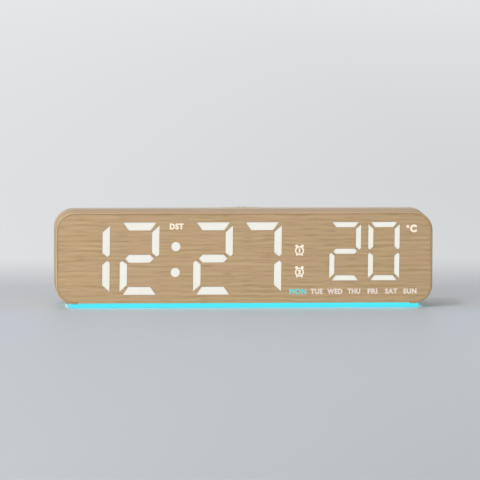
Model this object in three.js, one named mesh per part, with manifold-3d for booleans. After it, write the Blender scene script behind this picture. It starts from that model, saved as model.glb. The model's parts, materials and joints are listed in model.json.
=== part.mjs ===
// A digital desk clock: a wood-wrapped bar with a lit seven-segment face and a glowing strip under it.
// Millimetres, +Z up, the front faces -Y. The origin is under the middle of the clock, on the table.
import * as THREE from "three";
import { mergeVertices } from "three/addons/utils/BufferGeometryUtils.js";
import Module from "manifold-3d";

const wasm = await Module();
wasm.setup();

// Housing
const bodyWidth = 200;
const bodyHeight = 48.8;
const sleeveDepth = 23;
const coverDepth = 10.2;
const cornerRadius = 10;
const sleeveWall = 2.2;
const coverWall = 2;
const frontFillet = 0.6;
const rearFillet = 2.5;
const fit = 0.3; // gap round a piece that drops into a pocket
const runningGap = 0.2; // gap round a piece that moves
const overrun = 1; // how far a cutter runs past the faces that it opens

// Face, from the front backwards
const rimLip = 1;
const faceRecess = 0.2;
const faceThickness = 0.6;
const lensThickness = 2;
const padRecess = 0.05;
const padGap = 0.15;
const reflectorDepth = 8;
const boardThickness = 1.6;
const faceDrop = 0.3; // how far the lit bar's opening lets the face hang below the pocket's edge

// Digits: the hours and minutes are big, the temperature is small
const digitBottom = 5;
const bigDigitTop = 5.3;
const bigDigitWidthShare = 0.106;
const bigDigitLeftShares = [-0.46275, -0.3325, -0.13625, -0.006];
const bigDigitText = "1227";
const bigStroke = {
  upright: 4.1, // width of an upright segment
  level: 4.4, // height of a level segment
  inset: 1.75, // how far a level segment's long side stops from the digit's edge
  slope: 3.1, // how far its end slants in
  drop: 2.2, // how far an upright segment's end stays from the digit's edge
  gap: 2.1, // from the middle line to an upright segment's outer corner
  tip: 0.87, // from the middle line to its tip
  tipIn: 1.4, // from the digit's side to its tip
  mid: 2.8, // from the digit's side to the middle segment's tip
};
const smallDigitBottom = 12.3;
const smallDigitWidthShare = 0.085;
const smallDigitLeftShares = [0.2245, 0.328];
const smallDigitText = "20";
const smallStroke = {
  upright: 2.9,
  level: 2.9,
  inset: 1.6,
  slope: 2.2,
  drop: 1.7,
  gap: 1.6,
  tip: 0.65,
  tipIn: 1,
  mid: 2,
};
const slant = THREE.MathUtils.degToRad(1.1);
const colonRadius = 2.4;
const colonXShare = -0.1815;
const colonZShares = [0.631, 0.347];
const litSegments = { 0: "abcdef", 1: "bc", 2: "abged", 7: "abc" };

// Light wells behind the weekday names, then behind the other legends as [x, z, width, height] shares
const dayCount = 7;
const dayFirstShare = 0.1425;
const dayPitchShare = 0.0496;
const dayWellShare = 0.04; // width
const dayRise = 6.25; // from the housing's underside to the middle of the weekday names
const dayWellHeight = 3.03;
const legendWellShares = [
  [-0.1785, 0.844, 0.04, 0.07],
  [0.1465, 0.58, 0.027, 0.13],
  [0.1465, 0.345, 0.027, 0.13],
  [0.447, 0.812, 0.032, 0.11],
];

// Display board, its lamps and its screws
const lampSize = 2;
const lampHeight = 0.8;
const displayScrewXShares = [-0.3445, 0.1915];
const displayScrewZShares = [0.24, 0.78];
const stopRibXShare = 0.25;
const stopRibWidth = 10;
const stopRibReach = 1.6;

// Base, light bar and feet
const footProud = 0.4;
const footSeat = 0.5;
const footRadius = 4;
const footXShare = 0.42;
const baseThickness = 1.8;
const baseSideInset = 7.4;
const baseCorner = 1.5;
const baseRearInset = 3.7;
const barDepth = 4.7;
const notchSideInset = 12;
const barRailRise = 1.2; // how far the bar's rails stand above the housing's floor
const barGrooveWidth = 2.4;
const barGrooveDepth = 1;
const ledBoardThickness = 0.8;
const ledCount = 18;
const ledWidth = 2.8;
const ledDepth = 1.6;
const ledHeight = 0.7;
const basePostRadius = 2.5;
const basePostHeight = 4;
const baseScrewXShares = [-0.36, -0.15, 0.15, 0.36];

// Screws
const screwRadius = 1;
const screwHeadRadius = 1.9;
const screwHeadHeight = 1.2;
const screwGap = 0.15;
const screwSlot = 0.6;
const screwSlotDepth = 0.5;
const coverScrewInset = 6.6;
const coverScrewGrip = 3.6; // how much of the cover a screw clamps
const coverScrewTipGap = 3.6; // from a screw's tip to the display board
const coverPostRadius = 3.25;
const displayScrewLength = 6;
const boardScrewLength = 5.6;
const baseScrewLength = 5;

// Keys on the back and the switches behind them
const keyNames = ["set", "plus", "minus", "alarm", "light"];
const keyWidth = 9;
const keyHeight = 5;
const keyProud = 0.8;
const keyEdge = 0.4;
const keyPitchShare = 0.075;
const keyZShare = 0.57;
const keyFlangeLip = 1;
const keyFlangeThickness = 1.5;
const keyFlangeGap = 0.1;
const keyStemLength = 1.8;
const keyStemRadius = 1.6;
const keyTravel = 0.5;
const pressGap = 0.1; // what is left between a pressed key and its switch
const switchSide = 6;
const switchBody = 3.5;
const switchHeight = 5.2;
const switchPlungerRadius = 1.7;

// Snooze button on the top of the rear cover
const snoozeWidth = 24;
const snoozeDepthShare = 0.55;
const snoozeProud = 0.9;
const snoozeCorner = 1.5;
const snoozeEdge = 0.3;
const snoozeFlangeLip = 0.8;
const snoozeFlangeThickness = 1.2;
const snoozeFlangeGap = 0.3;
const snoozeTravel = 0.6;
const snoozeStemLength = 1.7;
const snoozeRibSpacing = 2.6;
const snoozeRibWidth = 0.35;
const snoozeRibHeight = 0.25;
const snoozeSwitchHeight = 5;
const snoozePlungerRise = 1.2;

// Control board and what stands on it
const controlHalfShare = 0.43;
const controlBottomInset = 6.8;
const controlPostRadius = 2.75;
const controlPostXShare = 0.405;
const controlPostZShares = [0.22, 0.78];
const connectorDepthShare = 0.3;
const connectorHeight = 5;
const ribbonWidth = 12;
const ribbonThickness = 0.7;
const ribbonXShare = -0.1;
const ribbonRise = 5;
const lightCableWidth = 4;
const lightCableXShare = 0.1;
const lightConnectorZShare = 0.2;
const ribbonConnectorZShare = 0.3;
const chipSide = 10;
const chipHeight = 1.2;
const chipXShare = 0.25;
const buzzerRadius = 6;
const buzzerHeight = 5.5;
const buzzerXShare = -0.25;
const buzzerZShare = 0.6;
const buzzerHoleRadius = 0.8;
const buzzerHoleCircle = 3.4;
const buzzerHoleCount = 6;
const sensorWidth = 4.5;
const sensorDepth = 3.5;
const sensorHeight = 4.5;
const sensorXShare = 0.37;
const sensorZShare = 0.21;
const ventCount = 5;
const ventLength = 8;
const ventHeight = 1.2;
const ventPitch = 2.4;

// Power socket
const socketXShare = -0.35;
const socketZShare = 0.24;
const socketWidth = 8.94;
const socketHeight = 3.26;
const socketShell = 0.3;
const socketBackset = 0.3;
const socketTongueWidth = 6.7;
const socketTongueHeight = 0.7;
const socketTongueBackset = 1;
const socketBaseLip = 0.4;
const socketBaseHeight = 2;

// Memory cell under a coin-turned cap
const cellRadius = 10;
const cellThickness = 3.2;
const cellXShare = 0.29;
const cellZShare = 0.49;
const cellHolderWall = 1.6;
const cellProud = 0.5;
const contactThickness = 0.3;
const contactWidth = 4;
const capRadius = 12;
const capFlange = 1.2;
const capNeckInset = 1.5;
const capPadInset = 3;
const capPlugDepth = 3.8;
const capLugThickness = 1.1;
const capLugWidth = 5;
const capLugReach = 1.2;
const capSlotLength = 12;
const capSlotWidth = 1.6;
const capSlotDepth = 0.7;
const wellWall = 1.6;
const wellDepth = 2.2;
const capOpenTurn = THREE.MathUtils.degToRad(60);

// Sides of round shapes, and steps in a quarter turn of a rounded corner
const roundSides = 24;
const smallSides = 12;
const tinySides = 8;
const cornerSteps = 6;
const plateSteps = 3;
const pillSteps = 4;
const flangeSteps = 2;
const cableSteps = 10;
const rearFilletSteps = 3;
const frontFilletSteps = 2;

// Levels that follow from the sizes above
const frontY = -(sleeveDepth + coverDepth + keyProud) / 2;
const seamY = frontY + sleeveDepth;
const rearY = seamY + coverDepth;
const bottomZ = footProud + baseThickness;
const topZ = bottomZ + bodyHeight;
const middleZ = (bottomZ + topZ) / 2;
const faceFrontY = frontY + faceRecess;
const lensFrontY = faceFrontY + faceThickness;
const reflectorFrontY = lensFrontY + lensThickness;
const displayFrontY = reflectorFrontY + reflectorDepth;
const displayRearY = displayFrontY + boardThickness;
const floorZ = bottomZ + sleeveWall;
const ceilingZ = topZ - sleeveWall;
const railTopZ = floorZ + barRailRise;
const ledBoardTopZ = railTopZ + ledBoardThickness;
const displayInset = sleeveWall + fit;
const displayBottomZ = ledBoardTopZ + fit;
const coverInnerY = rearY - coverWall;
const keyStemTipY = coverInnerY - keyFlangeGap - keyFlangeThickness - keyStemLength;
const coverSeatY = seamY + coverScrewGrip;
const coverScrewLength = coverSeatY - displayRearY - coverScrewTipGap;
const controlRearY = keyStemTipY - keyTravel - pressGap - switchHeight;
const controlFrontY = controlRearY - boardThickness;
const controlBottomZ = bottomZ + controlBottomInset;
const snoozeTipZ = topZ - coverWall - snoozeFlangeGap - snoozeFlangeThickness - snoozeStemLength;
const snoozePlungerZ = snoozeTipZ - snoozeTravel - pressGap;
const controlTopZ = snoozePlungerZ - snoozePlungerRise;
const boardsGap = controlFrontY - displayRearY;
const connectorDepth = boardsGap * connectorDepthShare;
const barFrontY = reflectorFrontY + fit;
const barRearY = barFrontY + barDepth;
const baseHalfWidth = bodyWidth / 2 - baseSideInset;
const notchHalfWidth = bodyWidth / 2 - notchSideInset;
const basePostY = displayRearY + overrun + basePostRadius;
const baseFrontY = barRearY + fit;
const baseRearY = rearY - baseRearInset;
const capInnerY = rearY - capPlugDepth;
const cellRearY = capInnerY - fit;
const cellFrontY = cellRearY - cellThickness;
const holderFloorY = cellFrontY - contactThickness;
const snoozeDepth = coverDepth * snoozeDepthShare;
const snoozeY = (seamY + rearY - rearFillet) / 2;

const spanX = (share) => bodyWidth * share;
const spanZ = (share) => bottomZ + bodyHeight * share;
const cellX = spanX(cellXShare);
const cellZ = spanZ(cellZShare);

// Colours and finishes
function finish(color, roughness, metalness = 0) {
  return new THREE.MeshStandardMaterial({ color, roughness, metalness });
}

const wood = finish(0xbda17d, 0.6);
const cream = finish(0xddd2c0, 0.55);
const milk = finish(0xf6f1e6, 0.35);
const whitePlastic = finish(0xf2f2ee, 0.5);
const glow = finish(0x50f2fe, 0.4);
const greenBoard = finish(0x2c6b45, 0.5);
const whiteBoard = finish(0xe9e9e4, 0.5);
const rubber = finish(0x2b2b2d, 0.9);
const steel = finish(0xb9bcc0, 0.35, 1);
const blackPlastic = finish(0x202124, 0.55);
const greyCable = finish(0x9a9da1, 0.6);

// Turns a closed geometry into a solid that can be cut and joined.
function solid(geometry) {
  const bare = geometry.index ? geometry.toNonIndexed() : geometry.clone();
  bare.deleteAttribute("normal");
  bare.deleteAttribute("uv");
  const merged = mergeVertices(bare);
  const vertProperties = merged.attributes.position.array;
  const triVerts = new Uint32Array(merged.index.array);
  return new wasm.Manifold(new wasm.Mesh({ numProp: 3, vertProperties, triVerts }));
}

// A named mesh of a finished solid.
function piece(name, form, material) {
  const mesh = form.getMesh();
  const geometry = new THREE.BufferGeometry();
  geometry.setAttribute("position", new THREE.BufferAttribute(mesh.vertProperties, 3));
  geometry.setIndex(new THREE.BufferAttribute(mesh.triVerts, 1));
  const flat = geometry.toNonIndexed();
  flat.computeVertexNormals();
  const made = new THREE.Mesh(flat, material);
  made.name = name;
  return made;
}

const joined = (forms) => forms.reduce((all, form) => all.add(form));
const without = (form, cutters) => cutters.reduce((left, cutter) => left.subtract(cutter), form);

// A box from its lowest to its highest place on each axis.
function box([x0, x1], [y0, y1], [z0, z1]) {
  const geometry = new THREE.BoxGeometry(x1 - x0, y1 - y0, z1 - z0);
  return solid(geometry.translate((x0 + x1) / 2, (y0 + y1) / 2, (z0 + z1) / 2));
}

const around = (middle, width) => [middle - width / 2, middle + width / 2];

// A round bar along Y.
function rodY(radius, x, z, [y0, y1], sides = smallSides) {
  const geometry = new THREE.CylinderGeometry(radius, radius, y1 - y0, sides);
  return solid(geometry.translate(x, (y0 + y1) / 2, z));
}

// A round bar along Z.
function rodZ(radius, x, y, [z0, z1], sides = smallSides) {
  const geometry = new THREE.CylinderGeometry(radius, radius, z1 - z0, sides);
  return solid(geometry.rotateX(Math.PI / 2).translate(x, y, (z0 + z1) / 2));
}

// A rectangle with round corners, as a flat shape.
function roundedRect(width, height, radius, x = 0, y = 0) {
  const shape = new THREE.Shape();
  const right = x + width / 2 - radius;
  const left = x - width / 2 + radius;
  const high = y + height / 2 - radius;
  const low = y - height / 2 + radius;
  shape.absarc(right, low, radius, -Math.PI / 2, 0);
  shape.absarc(right, high, radius, 0, Math.PI / 2);
  shape.absarc(left, high, radius, Math.PI / 2, Math.PI);
  shape.absarc(left, low, radius, -Math.PI, -Math.PI / 2);
  return shape;
}

// How a flat shape is thickened. An edge above zero rounds both of its rims.
function thickening(length, { edge = 0, edgeSteps = 1, curveSegments }) {
  return {
    depth: length - 2 * edge,
    bevelEnabled: edge > 0,
    bevelThickness: edge,
    bevelSize: edge,
    bevelOffset: -edge,
    bevelSegments: edgeSteps,
    curveSegments,
  };
}

// A flat shape drawn in X and Z, thickened along Y.
function slab(shape, [y0, y1], options = {}) {
  const { edge = 0 } = options;
  const settings = thickening(y1 - y0, { curveSegments: cornerSteps, ...options });
  const geometry = new THREE.ExtrudeGeometry(shape, settings);
  return solid(geometry.rotateX(Math.PI / 2).translate(0, y1 - edge, 0));
}

// A flat shape drawn in X and Y, thickened along Z.
function plate(shape, [z0, z1], options = {}) {
  const { edge = 0 } = options;
  const settings = thickening(z1 - z0, { curveSegments: plateSteps, ...options });
  const geometry = new THREE.ExtrudeGeometry(shape, settings);
  return solid(geometry.translate(0, 0, z0 + edge));
}

// The housing's outline in X and Z, drawn in from its outer surface.
function outline(inset) {
  const radius = cornerRadius - inset;
  return roundedRect(bodyWidth - 2 * inset, bodyHeight - 2 * inset, radius, 0, middleZ);
}

const polygon = (points) => new THREE.Shape(points.map(([x, z]) => new THREE.Vector2(x, z)));

// The same convex polygon with every side moved in by a distance.
function shrunk(points, distance) {
  const sides = points.map(([x, z], i) => {
    const [nextX, nextZ] = points[(i + 1) % points.length];
    const length = Math.hypot(nextX - x, nextZ - z);
    const normal = [-(nextZ - z) / length, (nextX - x) / length];
    return { normal, offset: normal[0] * x + normal[1] * z + distance };
  });
  return sides.map((side, i) => {
    const before = sides[(i + sides.length - 1) % sides.length];
    const cross = before.normal[0] * side.normal[1] - before.normal[1] * side.normal[0];
    const x = (before.offset * side.normal[1] - side.offset * before.normal[1]) / cross;
    const z = (before.normal[0] * side.offset - side.normal[0] * before.offset) / cross;
    return [x, z];
  });
}

// The seven segments of one digit, counter-clockwise, with the digit's lower left corner at zero.
function segments(width, height, stroke) {
  const mid = height / 2;
  const far = stroke.inset + stroke.slope;
  const inner = width - stroke.upright;
  const tipX = width / 2 - stroke.mid;
  const cornerX = tipX - stroke.level / 2;
  const top = [
    [stroke.inset, height],
    [far, height - stroke.level],
    [width - far, height - stroke.level],
    [width - stroke.inset, height],
  ];
  const upperRight = [
    [width, height - stroke.drop],
    [inner, height - stroke.drop - stroke.slope],
    [inner, mid + stroke.tip + stroke.drop],
    [width - stroke.tipIn, mid + stroke.tip],
    [width, mid + stroke.gap],
  ];
  const middle = [
    [width / 2 - tipX, mid],
    [width / 2 - cornerX, mid - stroke.level / 2],
    [width / 2 + cornerX, mid - stroke.level / 2],
    [width / 2 + tipX, mid],
    [width / 2 + cornerX, mid + stroke.level / 2],
    [width / 2 - cornerX, mid + stroke.level / 2],
  ];
  const acrossX = (points) => points.map(([x, z]) => [width - x, z]).reverse();
  const acrossZ = (points) => points.map(([x, z]) => [x, height - z]).reverse();
  return {
    a: top,
    b: upperRight,
    c: acrossZ(upperRight),
    d: acrossZ(top),
    e: acrossX(acrossZ(upperRight)),
    f: acrossX(upperRight),
    g: middle,
  };
}

// Every segment of the face as { points, lit }, slanted and in its place.
function faceSegments() {
  const rows = [
    {
      text: bigDigitText,
      lefts: bigDigitLeftShares,
      width: spanX(bigDigitWidthShare),
      low: bottomZ + digitBottom,
      stroke: bigStroke,
    },
    {
      text: smallDigitText,
      lefts: smallDigitLeftShares,
      width: spanX(smallDigitWidthShare),
      low: bottomZ + smallDigitBottom,
      stroke: smallStroke,
    },
  ];
  return rows.flatMap(({ text, lefts, width, low, stroke }) => {
    const height = topZ - bigDigitTop - low;
    const shapes = segments(width, height, stroke);
    return lefts.flatMap((share, i) =>
      Object.entries(shapes).map(([letter, points]) => ({
        lit: litSegments[text[i]].includes(letter),
        points: points.map(([x, z]) => [spanX(share) + x + (z - height / 2) * Math.tan(slant), low + z]),
      })),
    );
  });
}

const allSegments = faceSegments();
const litShapes = allSegments.filter(({ lit }) => lit).map(({ points }) => points);
const colonDots = colonZShares.map((share) => [spanX(colonXShare), spanZ(share)]);

// Light wells that have no digit in front of them: the two dots and the printed legends.
const dayWells = Array.from({ length: dayCount }, (_, i) => ({
  x: around(spanX(dayFirstShare + i * dayPitchShare), spanX(dayWellShare)),
  z: around(bottomZ + dayRise, dayWellHeight),
}));
const otherWells = legendWellShares.map(([x, z, width, height]) => ({
  x: around(spanX(x), spanX(width)),
  z: around(spanZ(z), bodyHeight * height),
}));
const legendWells = [...dayWells, ...otherWells];

// A pan-head screw that points along +Y, with its head's underside at zero.
function screw(length) {
  const head = rodY(screwHeadRadius, 0, 0, [-screwHeadHeight, 0]);
  const shank = rodY(screwRadius, 0, 0, [-screwHeadHeight / 2, length], tinySides);
  const slotY = [-screwHeadHeight - overrun, -screwHeadHeight + screwSlotDepth];
  const across = around(0, 2 * screwHeadRadius - screwSlot);
  const narrow = around(0, screwSlot);
  const cross = joined([box(across, slotY, narrow), box(narrow, slotY, across)]);
  return head.add(shank).subtract(cross);
}

const coverScrewPlaces = [-1, 1].flatMap((sideX) =>
  [-1, 1].map((sideZ) => [
    sideX * (bodyWidth / 2 - coverScrewInset),
    middleZ + sideZ * (bodyHeight / 2 - coverScrewInset),
  ]),
);
const displayScrewPlaces = displayScrewXShares.flatMap((x) =>
  displayScrewZShares.map((z) => [spanX(x), spanZ(z)]),
);
const controlScrewPlaces = [-1, 1].flatMap((side) =>
  controlPostZShares.map((z) => [side * spanX(controlPostXShare), spanZ(z)]),
);
const baseScrewXs = baseScrewXShares.map(spanX);
const keyPlaces = keyNames.map((name, i) => ({
  name,
  x: spanX(keyPitchShare) * ((keyNames.length - 1) / 2 - i),
}));
const keyZ = spanZ(keyZShare);

// Housing sleeve: an open tube with a pocket for the face, corner posts, stops and screw posts.
function housingSleeve() {
  const block = slab(outline(0), [frontY, seamY + 2 * frontFillet], {
    edge: frontFillet,
    edgeSteps: frontFilletSteps,
  });
  const behind = box([-bodyWidth, bodyWidth], [seamY, seamY + coverDepth], [0, topZ + overrun]);
  const pocket = slab(outline(rimLip), [frontY - overrun, reflectorFrontY]);
  const hollow = slab(outline(sleeveWall), [frontY - overrun, seamY + overrun]);
  const shell = without(block, [behind, pocket, hollow]);
  const corners = coverScrewPlaces.map(([x, z]) => rodY(coverPostRadius, x, z, [displayRearY, seamY]));
  const stops = [-1, 1].map((side) =>
    box(
      around(side * spanX(stopRibXShare), stopRibWidth),
      [displayRearY, displayRearY + stopRibReach],
      [ceilingZ - stopRibReach, ceilingZ + sleeveWall / 2],
    ),
  );
  const postZ = [floorZ - sleeveWall / 2, floorZ + basePostHeight];
  const posts = baseScrewXs.map((x) => rodZ(basePostRadius, x, basePostY, postZ));
  const barSlot = box(
    [-notchHalfWidth, notchHalfWidth],
    [frontY - overrun, baseFrontY],
    [bottomZ - overrun, floorZ + overrun],
  );
  const hole = screwRadius + screwGap;
  const cornerHoleY = [coverSeatY - coverScrewLength - fit, seamY + overrun];
  const cornerHoles = coverScrewPlaces.map(([x, z]) => rodY(hole, x, z, cornerHoleY, tinySides));
  const postHoleZ = [bottomZ - overrun, bottomZ + baseScrewLength];
  const postHoles = baseScrewXs.map((x) => rodZ(hole, x, basePostY, postHoleZ, tinySides));
  return without(joined([shell, ...corners, ...stops, ...posts]), [barSlot, ...cornerHoles, ...postHoles]);
}

// The face's outline, with the tongue that closes the front above the light bar.
function faceForm(yRange) {
  const tongueHalf = notchHalfWidth - fit;
  const edgeZ = bottomZ + rimLip - faceDrop;
  const sheet = slab(outline(rimLip + fit), yRange);
  return sheet.add(box([-tongueHalf, tongueHalf], yRange, [edgeZ, bottomZ + cornerRadius]));
}

// Wood face: a thin sheet with a window for each lit segment and dot.
function woodFace() {
  const cutY = [faceFrontY - overrun, lensFrontY + overrun];
  const windows = slab(litShapes.map(polygon), cutY);
  const dots = colonDots.map(([x, z]) => rodY(colonRadius, x, z, cutY, roundSides));
  return without(faceForm([faceFrontY, lensFrontY]), [windows, ...dots]);
}

// Display lens: a milky sheet whose raised pads fill the face's windows.
function displayLens() {
  const padY = [faceFrontY + padRecess, reflectorFrontY];
  const pads = slab(litShapes.map((points) => polygon(shrunk(points, padGap))), padY);
  const dots = colonDots.map(([x, z]) => rodY(colonRadius - padGap, x, z, padY, roundSides));
  return joined([faceForm([lensFrontY, reflectorFrontY]), pads, ...dots]);
}

// The outline of the reflector and the display board, above the light bar's board.
function displayForm(yRange) {
  const below = box([-bodyWidth, bodyWidth], [yRange[0] - overrun, yRange[1] + overrun], [0, displayBottomZ]);
  return slab(outline(displayInset), yRange).subtract(below);
}

// Reflector box: a light well for every segment, dot and legend.
function reflectorBox() {
  const cutY = [reflectorFrontY - overrun, displayFrontY + overrun];
  const wells = slab(allSegments.map(({ points }) => polygon(points)), cutY);
  const dots = colonDots.map(([x, z]) => rodY(colonRadius, x, z, cutY));
  const legends = legendWells.map(({ x, z }) => box(x, cutY, z));
  const holeY = [displayRearY - displayScrewLength - fit, displayFrontY + overrun];
  const holes = displayScrewPlaces.map(([x, z]) => rodY(screwRadius + screwGap, x, z, holeY, tinySides));
  return without(displayForm([reflectorFrontY, displayFrontY]), [wells, ...dots, ...legends, ...holes]);
}

// A plug socket on a board, open at one end for a flat cable.
function connector(x, width, yRange, zRange) {
  return box(around(x, width + 2 * fit), yRange, zRange);
}

const ribbonX = spanX(ribbonXShare);
const ribbonTopZ = spanZ(ribbonConnectorZShare) + connectorHeight / 2;
const lightCableX = spanX(lightCableXShare);
const lightConnectorZ = around(spanZ(lightConnectorZShare), connectorHeight);

// Display board: the lamps in the light wells and the ribbon cable's connector.
function displayBoard() {
  const board = displayForm([displayFrontY, displayRearY]);
  const lampY = [displayFrontY - lampHeight, displayFrontY + boardThickness / 2];
  const middles = allSegments.map(({ points }) => {
    const total = points.reduce(([sumX, sumZ], [x, z]) => [sumX + x, sumZ + z], [0, 0]);
    return total.map((sum) => sum / points.length);
  });
  const wellMiddles = legendWells.map(({ x, z }) => [(x[0] + x[1]) / 2, (z[0] + z[1]) / 2]);
  const lamps = [...middles, ...colonDots, ...wellMiddles].map(([x, z]) =>
    box(around(x, lampSize), lampY, around(z, lampSize)),
  );
  const connectorY = [displayRearY - boardThickness / 2, displayRearY + connectorDepth];
  const socket = connector(ribbonX, ribbonWidth, connectorY, [ribbonTopZ - connectorHeight, ribbonTopZ]);
  const holeY = [displayFrontY - overrun, displayRearY + overrun];
  const holes = displayScrewPlaces.map(([x, z]) => rodY(screwRadius + screwGap, x, z, holeY, tinySides));
  return without(joined([board, ...lamps, socket]), holes);
}

// Light bar: a clear bar under the front with two rails that carry the lamp board.
function lightBar() {
  const foot = box([-baseHalfWidth, baseHalfWidth], [barFrontY, barRearY], [footProud, bottomZ]);
  const ribHalf = notchHalfWidth - fit;
  const rib = box([-ribHalf, ribHalf], [barFrontY, barRearY], [bottomZ - baseThickness / 2, railTopZ]);
  const groove = box(
    [-ribHalf - overrun, ribHalf + overrun],
    around((barFrontY + barRearY) / 2, barGrooveWidth),
    [railTopZ - barGrooveDepth, railTopZ + overrun],
  );
  return foot.add(rib.subtract(groove));
}

// Light board: a narrow board with a row of lamps that hang into the bar's groove.
function lightBoard() {
  const half = notchHalfWidth - fit;
  const middleY = (barFrontY + barRearY) / 2;
  const board = box([-half, half], [barFrontY, barRearY], [railTopZ, ledBoardTopZ]);
  const pitch = (2 * half) / ledCount;
  const lampZ = [railTopZ - ledHeight, railTopZ + ledBoardThickness / 2];
  const lamps = Array.from({ length: ledCount }, (_, i) =>
    box(around(-half + pitch * (i + 1 / 2), ledWidth), around(middleY, ledDepth), lampZ),
  );
  return joined([board, ...lamps]);
}

const footPlaces = [-1, 1].flatMap((side) =>
  [baseFrontY + fit + footRadius, baseRearY - fit - footRadius].map((y) => [side * spanX(footXShare), y]),
);

// Base plate: it closes the underside behind the light bar and holds the feet.
function basePlate() {
  const middleY = (baseFrontY + baseRearY) / 2;
  const shape = roundedRect(2 * baseHalfWidth, baseRearY - baseFrontY, baseCorner, 0, middleY);
  const seats = footPlaces.map(([x, y]) =>
    rodZ(footRadius + screwGap, x, y, [footProud - overrun, footProud + footSeat], roundSides),
  );
  const holes = baseScrewXs.map((x) => rodZ(screwRadius + screwGap, x, basePostY, [0, topZ], tinySides));
  const sinks = baseScrewXs.map((x) =>
    rodZ(screwHeadRadius + screwGap, x, basePostY, [0, footProud + screwHeadHeight]),
  );
  return without(plate(shape, [footProud, bottomZ]), [...seats, ...holes, ...sinks]);
}

// A bar with round ends across the coin-turned cap: its two lugs, or the ways that let them through.
function capLugs(turn, lugY, reach, width) {
  const bar = box([-reach, reach], lugY, around(0, width));
  const lug = bar.intersect(rodY(reach, 0, 0, lugY, roundSides));
  return lug.rotate([0, THREE.MathUtils.radToDeg(turn), 0]).translate([cellX, 0, cellZ]);
}

const capNeckRadius = capRadius - capNeckInset;
const capLedgeY = coverInnerY;
const capLugY = [capLedgeY - keyFlangeGap - capLugThickness, capLedgeY - keyFlangeGap];
const capLugRadius = capNeckRadius + capLugReach;

// Battery cap: flush with the back, with a coin slot and two lugs behind the cover's ledge.
function batteryCap() {
  const flange = rodY(capRadius, cellX, cellZ, [rearY - capFlange, rearY], roundSides);
  const neck = rodY(capNeckRadius, cellX, cellZ, [capLugY[0], rearY], roundSides);
  const pad = rodY(capRadius - capPadInset, cellX, cellZ, [capInnerY, rearY], roundSides);
  const lugs = capLugs(0, capLugY, capLugRadius, capLugWidth);
  const slot = box(
    around(cellX, capSlotLength),
    [rearY - capSlotDepth, rearY + overrun],
    around(cellZ, capSlotWidth),
  );
  return joined([flange, neck, pad, lugs]).subtract(slot);
}

const snoozeWindow = [snoozeWidth + 2 * runningGap, snoozeDepth + 2 * runningGap];
const socketX = spanX(socketXShare);
const socketZ = spanZ(socketZShare);
const buzzerX = spanX(buzzerXShare);
const buzzerZ = spanZ(buzzerZShare);
const sensorX = spanX(sensorXShare);
const sensorZ = spanZ(sensorZShare);

// The cover's lips, which slide into the sleeve between its corner posts.
function coverLips() {
  const lipY = [seamY - sleeveWall, seamY + coverWall];
  const rootY = [seamY, seamY + coverWall];
  const outer = sleeveWall + screwGap;
  const inner = outer + coverWall / 2;
  const rootOuter = coverWall / 2;
  const farX = bodyWidth / 2 - 2 * cornerRadius;
  const nearX = snoozeWidth / 2 + 2 * coverWall;
  const upper = [-1, 1].flatMap((side) => {
    const x = side < 0 ? [-farX, -nearX] : [nearX, farX];
    return [box(x, lipY, [topZ - inner, topZ - outer]), box(x, rootY, [topZ - inner, topZ - rootOuter])];
  });
  const lowerX = [-farX, farX];
  const lower = [
    box(lowerX, lipY, [bottomZ + outer, bottomZ + inner]),
    box(lowerX, rootY, [bottomZ + rootOuter, bottomZ + inner]),
  ];
  return [...upper, ...lower];
}

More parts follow.
